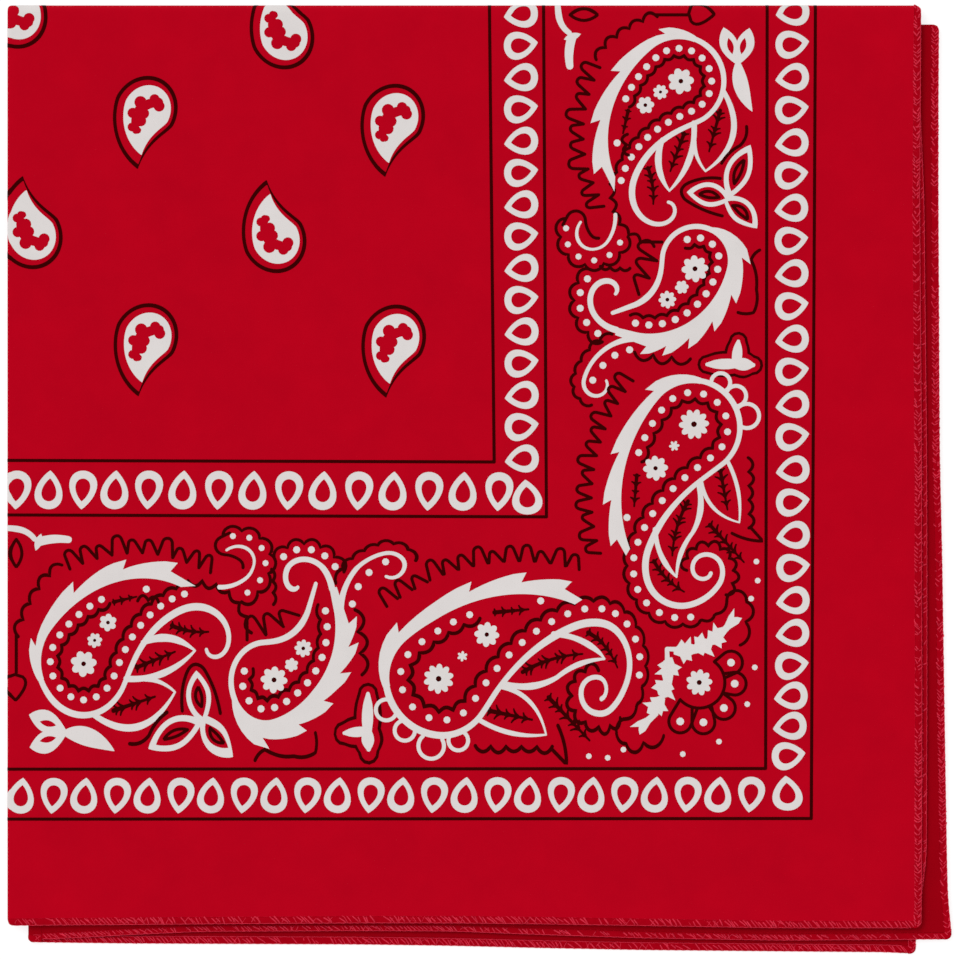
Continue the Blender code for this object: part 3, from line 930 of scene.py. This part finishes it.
def first_paisley():
    """Paint the paisley next to the far fold, with two leaves and a curled tail."""
    outer, front, inner = comma((204.4, 22.6), 13.7, 147.0, 35.5, -60.0, 3.4)
    tail = curl(*way_out(inner), -285.0, 13.0, 1.9)
    body = joined(outer[::-1], front, inner)
    back = joined(part(front, 0.30, 0.0), outer)
    spikes(part(lengthened(back, 7.0), 0.42, 1.0), (-7.6, -5.6), (-13.0, -10.4), 10)
    scallops(bow((178.6, 15.6), (197.6, 2.2), 2.0), 4.4, 1.6)
    beaded(part(joined(body, part(tail, 0.0, 0.12)), 0.20, 1.0), -3.7, 22, depth=0.9)
    scallops(offset(part(tail, 0.10, 0.62), -6.1), 4.2, 1.5)
    scallops(part(offset(body, -6.1), 0.05, 0.12), 3.6, 1.4)
    spot(185.6, 41.4, 1.1)
    crest(back, -1.0, 1.8, ((0.15, 3.3), (0.44, 4.3), (0.70, 4.7), (0.93, 4.9)), 0.40, 4.0, 1.3)
    twig((206.0, 38.5), (201.8, 50.0), 5)
    twig((217.0, 31.5), (213.6, 44.0), 5)
    twig((195.0, 49.0), (196.6, 60.0), 5, 0.6, 2.0)
    twig((189.0, 31.5), (187.4, 38.5), 3, 0.0, 1.4)
    white(joined(part(front, 0.20, 1.0), inner, tail), *FIRST_WIDTHS)
    white(bow((199.4, 40.4), (201.5, 56.0), -2.2), 1.4, 2.1, 1.8, 0.6)
    white(bow((209.0, 35.4), (201.5, 56.0), 2.4), 1.7, 1.6, 1.9, 1.4, 0.6)
    white(bow((209.0, 41.0), (212.5, 50.0), -0.8), 1.5, 0.6)
    white(bow((217.9, 25.5), (212.5, 50.0), 5.8), 1.4, 1.7, 1.8, 1.4, 0.6)
    flower(205.0, 22.6, 4.0, 7, 0.75)
    flower(198.8, 25.9, 2.3, 7, 0.5)
    flower(194.2, 29.9, 2.7, 6, 0.6)


def hook_and_spear():
    """Paint the hook, the eye and the spear that reach in from beyond the far fold."""
    white(travel((167.6, -4.0), 95.0, [(7.0, -15.0), (6.0, -45.0)]), 1.4, 2.0, 1.6)
    paint("white", blade((169.4, 9.9), (174.6, 8.2), 2.2))
    white(bow((171.8, 9.4), (171.2, 18.0), -0.5), 2.8, 2.7, 2.2)
    black(blade((171.3, 2.4), (179.7, 2.4), 3.4))
    black(bow((197.4, 2.4), (207.4, 2.4)))
    black(blade((207.4, 2.0), (215.2, 2.2), 6.4, 0.0, 0.32))


def bud():
    """Paint the bud with two petals and a long leaf."""
    neck = (222.3, 17.8)
    for tip, sag in (((218.0, 6.2), 0.3), ((225.9, 6.4), -0.3)):
        paint("white", blade(neck, tip, 5.4, sag, 0.56))
    for start, end in (((220.7, 14.4), (219.5, 9.4)), ((223.4, 14.4), (224.5, 9.4))):
        paint("bare", blade(start, end, 1.9))
    paint("white", blade((222.4, 16.0), (226.8, 31.9), 4.6, -1.2, 0.45))


def leaf_trio():
    """Paint three hollow leaves about one stem."""
    leaves = (((219.4, 58.4), (226.2, 42.0), 7.8, 0.4), ((220.4, 58.6), (206.8, 56.4), 7.4, -0.4),
              ((217.8, 57.8), (228.2, 67.4), 7.2, 0.7))
    for start, end, width, sag in leaves:
        paint("white", blade(start, end, width, sag))
    for start, end, width, sag in leaves:
        start, end = np.array(start), np.array(end)
        paint("bare", blade(start + 0.14 * (end - start), start + 0.86 * (end - start), width - 2.8, sag))
        black(blade(start + 0.28 * (end - start), start + 0.72 * (end - start), 1.9, sag))
    black(bows((225.0, 36.4), (223.0, 42.2, 0.8), (217.4, 47.6, -0.6)))
    black(bows((217.0, 52.2), (207.2, 53.6, -0.7), (206.2, 58.6, -1.6), (217.6, 63.6, -0.6)))


def small_curl():
    """Paint the small open curl with an arch of spots."""
    line = travel((174.5, 65.5), 128.0, [(4.4, -45.0), (7.0, -85.0), (5.6, -55.0), (8.3, -35.0)])
    beaded(part(line, 0.04, 0.80), -3.4, 6, 0.95, 2.3, 1.6)
    scallops(bow((180.5, 79.4), (189.5, 80.0), 0.0), 3.6, -0.9)
    black(travel((180.0, 70.4), 172.0, [(2.6, 60.0), (5.0, 35.0), (7.6, -150.0), (3.0, 0.0)]))
    white(line, 0.8, 1.1, 0.8, 1.0, 1.2)


def second_paisley():
    """Paint the paisley that leans the other way, with two curled tails."""
    outer, front, inner = comma((209.7, 77.2), 10.4, 100.0, 29.0, 82.0, 4.3)
    outer = lengthened(outer, 5.0)
    inner = lengthened(inner, 6.5)
    whole = joined(outer[::-1], front, inner)
    neck, heading = way_out(outer)
    upper = curl(neck, heading, 300.0, 11.5, 1.7)
    lower = curl(neck + np.array([7.0, 2.6]), heading - 12.0, -75.0, 17.0, 17.0, 4)
    lower = joined(lower, curl(*way_out(lower), -225.0, 4.3, 3.0))
    spikes(bow((200.8, 72.0), (193.6, 88.4), 1.0), (-1.6, -1.6), (-8.6, -7.6), 3)
    beaded(part(upper, 0.08, 0.70), 3.3, 5, 1.1, 2.4, 1.7)
    scallops(offset(part(lower, 0.20, 0.80), -3.4), 4.6, -0.9)
    beaded(part(whole, 0.03, 0.68), 3.4, 13, 1.12, 2.4, 0.9)
    black(bows((229.0, 74.0), (226.4, 77.0, -0.4), (228.0, 86.0, 0.7),
               (227.2, 93.0, 0.6), (222.4, 93.0, 0.4)))
    scallops(bow((190.8, 106.2), (207.8, 108.2), 0.0), 5.6, -2.2)
    crest(joined(part(front, 0.42, 0.0), outer), 1.0, 1.5,
          ((0.19, 6.2), (0.36, 5.9), (0.51, 6.2), (0.64, 6.3), (0.75, 6.2), (0.84, 5.6)), 0.56, 0.0, 1.4)
    white(joined(part(front, 0.40, 1.0), inner), 1.6, 1.5, 1.4, 1.9, 1.2)
    white(upper, 2.0, 1.7, 1.7, 1.7, 1.5, 1.0)
    white(lower, 2.0, 1.4, 1.2, 1.2, 0.8)
    for x, y in part(offset(part(lower, 0.10, 0.42), 3.2), 0.0, 1.0, 3):
        spot(x, y, 1.1)
    spot(178.2, 113.6, 1.1)
    flower(209.3, 79.7, 4.1, 8, 0.8)
    flower(205.3, 85.3, 2.1, 6)
    flower(200.9, 89.1, 2.7, 8, 0.6)


def three_petals():
    """Paint the small white leaf of three petals in its black outline."""
    middle = (221.9, 108.6)
    petals = (((222.5, 101.8), 3.1), ((213.0, 108.8), 3.2), ((227.0, 109.0), 3.8))
    for margin, ink in ((4.8, "black"), (3.1, "bare"), (0.0, "white")):
        for tip, width in petals:
            widths = (margin + share * width for share in (0.80, 1.0, 1.0, 0.80, 0.35))
            paint_line(ink, bow(middle, tip), *widths)


def third_paisley(loops):
    """Paint the large paisley with loops round its head and a coiled tail."""
    head = np.array((208.6, 128.0))
    outer, front, inner = comma(head, 14.4, 136.0, 42.0, -48.0, 3.2)
    tail = travel(*way_out(inner), COIL)
    whole = joined(outer[::-1], front, inner, part(tail, 0.0, 0.43))
    back = joined(part(front, 0.30, 0.0), outer)
    spikes(part(back, 0.24, 0.98), (-8.6, -8.0), (-14.0, -12.6), 13)
    beaded(part(whole, 0.18, 1.0), -3.7, 26)
    round_coil = part(tail, 0.56, 0.88, 30)
    scallops(offset(round_coil, np.linspace(-4.4, -2.6, 30)), 4.4, -1.6)
    spot(188.6, 155.4, 1.1)
    twig((207.2, 150.4), (202.4, 167.0), 7, -1.0)
    twig((217.0, 141.0), (219.2, 153.0), 5)
    twig((196.8, 168.6), (206.0, 178.0), 6, -1.0, 2.0)
    twig((213.8, 157.6), (224.2, 169.0), 7)
    twig((191.6, 142.5), (190.8, 152.0), 4, 0.0, 1.6)
    crest(back, -1.0, 1.8, ((0.22, 4.1), (0.54, 4.3), (0.76, 4.7), (0.94, 4.4)), 0.45, 1.5, 1.3)
    for heading, radius in loops:
        white(arc(head + (13.2 + radius) * towards(heading), radius, heading - 130.0, heading + 130.0), 1.2)
    white(joined(part(front, 0.14, 1.0), inner, tail), *THIRD_WIDTHS)
    white(bow((197.2, 159.0), (203.7, 173.5), -1.6), 1.5, 1.4, 1.7, 0.6)
    white(bows((210.5, 146.0), (208.6, 160.0, 1.4), (203.7, 173.5, -1.2)), 1.4, 1.9, 1.2, 1.5, 0.6)
    white(bow((211.2, 144.8), (222.8, 156.9), -2.6), 1.3, 1.1, 0.5)
    white(bow((219.4, 138.6), (222.8, 156.9), 1.4), 1.2, 1.2, 0.5)
    scallops(bow((226.2, 137.2), (226.4, 158.6)), 4.2, 1.4)
    black(bows((226.4, 158.6), (230.0, 162.6, 0.0), (220.6, 160.2, 0.6)))
    flower(209.0, 127.0, 4.6, 10, 0.9)
    flower(203.0, 133.6, 1.6, 6, 0.0, 0.40)
    flower(197.3, 140.4, 3.8, 8, 0.7)


# One side of a jagged leaf, in shares of its size: how far ahead of its middle, and how far aside
JAGS = ((-1.2, 0.25), (-0.55, 0.50), (-0.25, 1.05), (0.02, 0.74), (0.60, 1.20), (0.58, 0.55), (1.0, 0.30))
TIP_JAGS = ((-1.7, 0.28), (-0.4, 0.36), (0.45, 0.54), (1.35, 0.62), (0.85, 0.12))
# The sprig's leaves, of which the last is its tip: place, heading, size and outline
SPRIG = (
    (206.4, 195.9, -6.0, 3.3, JAGS), (211.3, 194.5, -24.0, 3.3, JAGS), (215.8, 191.7, -38.0, 3.1, JAGS),
    (220.0, 187.7, -50.0, 3.2, TIP_JAGS),
)
# The line about its tip: the middles, radii, first and last headings of its arcs
TIP_ARCS = (
    ((222.0, 180.6), 3.0, 175.0, 355.0),
    ((224.0, 184.0), 3.1, -75.0, 65.0),
    ((221.6, 190.2), 4.3, -45.0, 70.0),
)


def corner_leaf():
    """Paint the sprig of jagged leaves that lies along one arm of the corner, and the line about it."""
    for x, y, heading, size, jags in SPRIG:
        ahead = towards(heading)
        aside = np.array([-ahead[1], ahead[0]])
        sides = []
        for sign in (-1.0, 1.0):
            uneven = [1.0 + 0.16 * math.sin(4.0 * along + 2.2 * sign + 0.7 * x) for along, _ in jags]
            sides.append([np.array([x, y]) + size * share * (along * ahead + sign * away * aside)
                          for (along, away), share in zip(jags, uneven)])
        paint("white", np.array(sides[0] + sides[1][::-1]))
    white(bow((200.8, 195.4), (206.0, 195.6)), 1.3, 1.6)
    outline = [bow((211.4, 186.6), (215.4, 184.8), -1.2), bow((215.4, 184.8), (219.0, 180.9), -1.2)]
    outline += [arc(*each) for each in TIP_ARCS]
    black(joined(*outline))


# The loops round the corner's flower: their headings from its middle and how far they lie from it
CORNER_LOOPS = ((-32.0, 11.4), (2.0, 10.8), (46.0, 10.8), (84.0, 12.2), (116.0, 13.2))


def corner_flower():
    """Paint the flower in the corner, with a fan of loops and spots."""
    heart = np.array((210.6, 205.6))
    flower(heart[0], heart[1], 4.0, 9, 0.8)
    black(arc(heart, 7.8, -53.0, 138.0))
    for heading, reach in CORNER_LOOPS:
        middle = heart + reach * towards(heading)
        feet = arc(heart, 7.8, heading - 22.0, heading + 22.0)
        outer = arc(middle, 3.5, heading - 90.0, heading + 90.0)
        black(joined(feet[:1], outer, feet[-1:]))
        spot(*middle, 1.2)
    spot(225.2, 212.2)
    spot(216.6, 223.6)


# The spots that belong to no motif
ARM_SPOTS = ((228.0, 168.8), (228.4, 174.6), (226.4, 180.1), (227.5, 201.0))


def arm(loops):
    """Paint the motifs of one arm of the border."""
    first_paisley()
    hook_and_spear()
    bud()
    leaf_trio()
    small_curl()
    second_paisley()
    three_petals()
    third_paisley(loops)
    corner_leaf()
    for x, y in ARM_SPOTS:
        spot(x, y)


# How places along and across the right-hand arm answer to those on the near one
ALONG_RIGHT = (-12.0, 0.0, 80.0, 100.0, 112.0, 126.0, 172.0, 200.0, 231.8)
ALONG_NEAR = (-11.7, 0.3, 81.5, 100.4, 113.2, 130.2, 180.5, 204.8, 230.4)
CROSS_RIGHT = (164.0, 180.0, 200.0, 212.0, 231.0)
CROSS_NEAR = (155.2, 170.6, 194.2, 207.9, 231.8)
SMALL = 9.6               # a shape up to this size is moved there as it is, and isn't stretched


def seen_across(loop):
    """Return a shape of the right-hand arm as it lies on the near one, across the corner's diagonal."""
    middle = 0.5 * (loop.min(axis=0) + loop.max(axis=0))
    from_middle = (loop - middle) if np.ptp(loop, axis=0).max() < SMALL else 0.0 * loop
    loop = loop - from_middle
    along = np.interp(loop[:, 1], ALONG_RIGHT, ALONG_NEAR)
    cross = np.interp(loop[:, 0], CROSS_RIGHT, CROSS_NEAR)
    return np.column_stack([along, cross]) + from_middle[:, ::-1]


# --- The rows of rings, their lines, and the drops in the field ---
def teardrop(x, y, heading, length, width, tilt=0.0):
    """Return the outline of a drop about its middle, with its point at a heading."""
    angles = np.linspace(0.0, 2.0 * math.pi, 33)[:-1]
    along = np.cos(angles)
    aside = np.sin(angles) * np.abs(np.sin(0.5 * angles)) ** 0.75
    aside = aside / aside.max()
    aside = 0.5 * width * aside + tilt * (0.5 + 0.5 * along) ** 3
    turn = math.radians(heading)
    along = 0.5 * length * along
    return np.column_stack([x + along * math.cos(turn) - aside * math.sin(turn),
                            y + along * math.sin(turn) + aside * math.cos(turn)])


def ring_drop(x, y, heading, length, width):
    """Paint one white drop with a hole."""
    paint("white", teardrop(x, y, heading, length, width, -0.6))
    paint("bare", teardrop(x, y, heading, 0.59 * length, 0.53 * width, -0.3))


# A row of rings: whether it runs down or across, how many, which way the first one points, the
# numbers of some rings and their places along and aside, length and width, and the points' tilt.
# Every other ring points the other way, but for those that are turned.
RING_ROWS = (
    ("down", 24, -1.0, (0, 6, 17, 20, 23), (1.5, 61.2, 170.7, 200.5, 228.0),
     (239.0, 238.6, 239.2, 238.8, 237.8), (10.3, 8.5), -4.0),
    ("down", 15, -1.0, (0, 14), (2.1, 137.5), (156.3, 156.6), (10.4, 8.5), -4.0),
    ("across", 24, -1.0, (0, 23), (4.3, 226.2), (240.1, 239.7), (10.9, 8.2), 12.0),
    ("across", 15, 1.0, (0, 4, 14), (2.8, 42.9, 149.5), (147.0, 147.0, 147.5), (11.8, 8.5), 9.0),
)
TURNED = (("down", 24, 19), ("down", 24, 20), ("down", 24, 21))
# The rings in the rows' corners
RING_CORNERS = ((237.5, 239.3), (158.3, 149.2))
# Each frame line: across at the far fold and at its corner, down at its corner and the side fold
FRAME_LINES = (
    (246.0, 244.7, 247.0, 247.2),
    (231.3, 230.8, 231.8, 232.0),
    (163.2, 164.1, 155.2, 154.6),
    (146.7, 148.2, 138.5, 138.0),
)
BEYOND = -5.0             # the print goes on under the folds


def frame_and_rings():
    """Paint the four frame lines and the rows of rings, two down and two across."""
    for far_across, across, down, side_down in FRAME_LINES:
        black(bow((far_across, BEYOND), (across, down)))
        black(bow((across, down), (BEYOND, side_down)))
    for direction, count, first, numbers, places, asides, size, tilt in RING_ROWS:
        for number in range(count):
            along = float(np.interp(number, numbers, places))
            aside = float(np.interp(number, numbers, asides))
            sign = first * (-1.0) ** number
            if (direction, count, number) in TURNED:
                sign = -sign
            if direction == "down":
                ring_drop(aside, along, 90.0 - 90.0 * sign + tilt, *size)
            else:
                ring_drop(along, aside, 90.0 * sign + tilt, *size)
    for across, down in RING_CORNERS:
        ring_drop(across, down, -90.0, 10.6, 9.2)


# The field's drops: place of the middle of the head, and 1 where the point is down, -1 where up
FIELD_DROPS = (
    (42.0, 31.6, 1.0), (117.3, 34.0, 1.0), (42.2, 100.8, 1.0), (117.6, 101.2, 1.0),
    (7.0, 69.2, -1.0), (81.2, 70.4, -1.0), (83.6, 8.4, -1.0), (2.4, 2.1, -1.0),
)
# A drop's coats: ink, place of the head aside from the drop's middle, radius and length
DROP_COATS = (("black", -0.1, 9.7, 18.3), ("bare", -0.1, 8.6, 16.8), ("white", 0.5, 7.1, 13.9))
# The lobes of its hole: share of the way along it, distance aside and radius
DROP_LOBES = (
    (0.00, 1.2, 1.7), (0.06, -1.0, 1.6), (0.34, -1.6, 1.9), (0.52, 1.6, 1.7), (0.62, -1.4, 1.6),
    (0.82, 1.6, 1.7), (0.90, -1.0, 1.4), (1.00, 0.6, 1.1),
)


def field_drop(x, y, sense):
    """Paint one drop of the field: a black outline, a white body and a hole like a lobed sprig."""
    first = len(shapes)
    for ink, aside, radius, length in DROP_COATS:
        outer, front, inner = comma((aside, 0.0), radius, 118.0, length, -46.0, 0.1, 1.12)
        paint(ink, np.concatenate([outer[::-1], front, inner]))
    stem = bow((4.1, -2.6), (-2.9, 6.0), -3.0)
    left = normals(stem)
    paint_line("bare", stem, 2.8, 3.2, 2.2)
    for share, aside, radius in DROP_LOBES:
        at = round(share * (len(stem) - 1))
        paint("bare", arc(stem[at] + aside * left[at], radius, 0.0, 340.0))
    redraw(first, lambda loop: np.array([x, y]) + loop * np.array([1.0, sense]))


frame_and_rings()
for x, y, sense in FIELD_DROPS:
    field_drop(x, y, sense)
first = len(shapes)
arm(NEAR_LOOPS)
redraw(first, seen_across)
arm(RIGHT_LOOPS)
corner_flower()


# --- Laying the print on the cloth ---
GRID_STEP = 4.0           # the print is cut along this grid, to follow the cloth's unevenness
GRID_START = 6.0          # its first line past the folds
GRID_END = 250.0          # past the outermost frame line
FILM = 0.06               # how far the print stands off the cloth
PRINT_PAST_FOLD = 1.2     # how far the print goes on under a side fold
PRINTED_BEND = 0.9        # the share of the top quarter's far fold that it goes round
PRINT_INSET = 0.1         # from the far end of the bottom quarter's cloth to its print
CUT_TOLERANCE = 1e-5
LEAST_AREA = 1e-14        # twice the area, in square metres, under which a triangle is left out


def inside(points, loop):
    """Return which points lie inside a loop, by how many times it winds round them."""
    start, end = loop, np.roll(loop, -1, axis=0)
    x, y = points[:, 0:1], points[:, 1:2]
    rising = (start[:, 1] <= y) & (end[:, 1] > y)
    falling = (start[:, 1] > y) & (end[:, 1] <= y)
    turn = (end[:, 0] - start[:, 0]) * (y - start[:, 1]) - (x - start[:, 0]) * (end[:, 1] - start[:, 1])
    winding = np.sum(rising & (turn > 0.0), axis=1) - np.sum(falling & (turn < 0.0), axis=1)
    return winding != 0


def cut_print():
    """Cut the whole print into triangles. Return their corners and the triangles."""
    corners = []
    edges = []
    for _, loop in shapes:
        first = len(corners)
        corners += [Vector(point) for point in loop]
        edges += [(first + number, first + (number + 1) % len(loop)) for number in range(len(loop))]
    field = list(np.arange(GRID_START, GRID_END, GRID_STEP))
    for fold, reach, radius in (("end", END_REACH, END_BEND), ("side", SIDE_REACH, SIDE_BEND)):
        bends = [reach - math.pi * radius * step / BEND_STEPS for step in range(BEND_STEPS + 1)]
        for level in bends + field:
            edges.append((len(corners), len(corners) + 1))
            ends = ((BEYOND, level), (GRID_END, level))
            corners += [Vector(end if fold == "end" else end[::-1]) for end in ends]
    made = delaunay_2d_cdt(corners, edges, [], 0, CUT_TOLERANCE)
    return np.array([tuple(point) for point in made[0]]), np.array([face[:3] for face in made[2]])


def inked(middles):
    """Return the number of the ink at each of some places, which is that of the last shape there."""
    inks = np.zeros(len(middles), dtype=int)
    order = np.argsort(middles[:, 0])
    sorted_across = middles[order, 0]
    for ink, loop in shapes:
        first, last = np.searchsorted(sorted_across, (loop[:, 0].min(), loop[:, 0].max()))
        near = order[first:last]
        near = near[(middles[near, 1] > loop[:, 1].min()) & (middles[near, 1] < loop[:, 1].max())]
        if len(near):
            inks[near[inside(middles[near], loop)]] = INKS.index(ink)
    return inks


points, triangles = cut_print()
middles = points[triangles].mean(axis=1)
inks = inked(middles)


def lay_print(layer, slot, chosen):
    """Lay the triangles of one ink on a quarter, but not past the ends of its cloth."""
    side_end = SIDE_FOLD[layer][0] - math.pi * SIDE_FOLD[layer][1] - PRINT_PAST_FOLD
    far_end = END_START[layer] + PRINT_INSET
    if layer == "top":
        far_end = END_REACH - PRINTED_BEND * math.pi * END_BEND
    shown = chosen & (middles[:, 0] > side_end) & (middles[:, 1] > far_end)
    used, kept = np.unique(triangles[shown], return_inverse=True)
    kept = kept.reshape(-1, 3)
    across, down = points[used].T
    lift = FACE[layer][0] + FILM
    placed = place(layer, across, down, lift)
    normal = facing(layer, across, down, lift)
    flat = np.cross(placed[kept[:, 1]] - placed[kept[:, 0]], placed[kept[:, 2]] - placed[kept[:, 0]])
    turned = np.einsum("ij,ij->i", flat, normal[kept[:, 0]]) < 0.0
    kept[turned] = kept[turned][:, ::-1]
    sized = np.linalg.norm(flat, axis=1) > LEAST_AREA
    return add_piece(f"{layer}_{slot}", placed, kept[sized].tolist(), slot, normal)


for ink in ("white", "black"):
    for layer in ("top", "bottom"):
        sewn[layer].append(lay_print(layer, ink + "_print", inks == INKS.index(ink)))

# --- Floor, light and camera ---
FLOOR_HALF = 3.0          # half its side, in metres
FLOOR_LEVEL = -0.02       # just under the cloth
floor_mesh = bpy.data.meshes.new("floor")
corners = ((-FLOOR_HALF, -FLOOR_HALF), (FLOOR_HALF, -FLOOR_HALF), (FLOOR_HALF, FLOOR_HALF),
           (-FLOOR_HALF, FLOOR_HALF))
floor_mesh.from_pydata([(x, y, FLOOR_LEVEL * MM) for x, y in corners], [], [(0, 1, 2, 3)])
floor = add_object("floor", floor_mesh)
floor_material = bpy.data.materials.new("floor")
floor_material.use_nodes = True
floor_shader = floor_material.node_tree.nodes["Principled BSDF"]
floor_shader.inputs["Base Color"].default_value = FLOOR_PALE
floor_shader.inputs["Roughness"].default_value = 0.9
floor_shader.inputs["Specular IOR Level"].default_value = 0.0
floor_shader.inputs["Emission Color"].default_value = (1.0, 1.0, 1.0, 1.0)
floor_shader.inputs["Emission Strength"].default_value = FLOOR_GLOW
floor_mesh.materials.append(floor_material)

SKY_STRENGTH = 0.80
KEY_STRENGTH = 1.0
KEY_DIRECTION = (0.50, -0.46, -1.0)   # from the upper left
world = bpy.data.worlds.new("studio")
world.use_nodes = True
world.node_tree.nodes["Background"].inputs["Color"].default_value = (1.0, 1.0, 1.0, 1.0)
world.node_tree.nodes["Background"].inputs["Strength"].default_value = SKY_STRENGTH
bpy.context.scene.world = world
key_data = bpy.data.lights.new("key", "SUN")
key_data.energy = KEY_STRENGTH
key_data.angle = math.radians(30.0)
key = add_object("key", key_data)
key.rotation_mode = "QUATERNION"
key.rotation_quaternion = Vector(KEY_DIRECTION).to_track_quat("-Z", "Y")

LENS = 300.0              # a long lens, straight above
SENSOR = 36.0
VIEW_LENGTH = 292.2       # what the image's long side spans at the top cloth
VIEW_LEVEL = 4.9          # height of the top cloth
AIM = (0.02, -0.06)       # where the camera stands, from the middle
camera_data = bpy.data.cameras.new("camera")
camera_data.lens = LENS
camera_data.sensor_width = SENSOR
camera_data.clip_end = 20.0
camera = add_object("camera", camera_data)
camera.location = (AIM[0] * MM, AIM[1] * MM, (VIEW_LEVEL + VIEW_LENGTH * LENS / SENSOR) * MM)
bpy.context.scene.camera = camera
bpy.context.scene.view_settings.view_transform = "Standard"
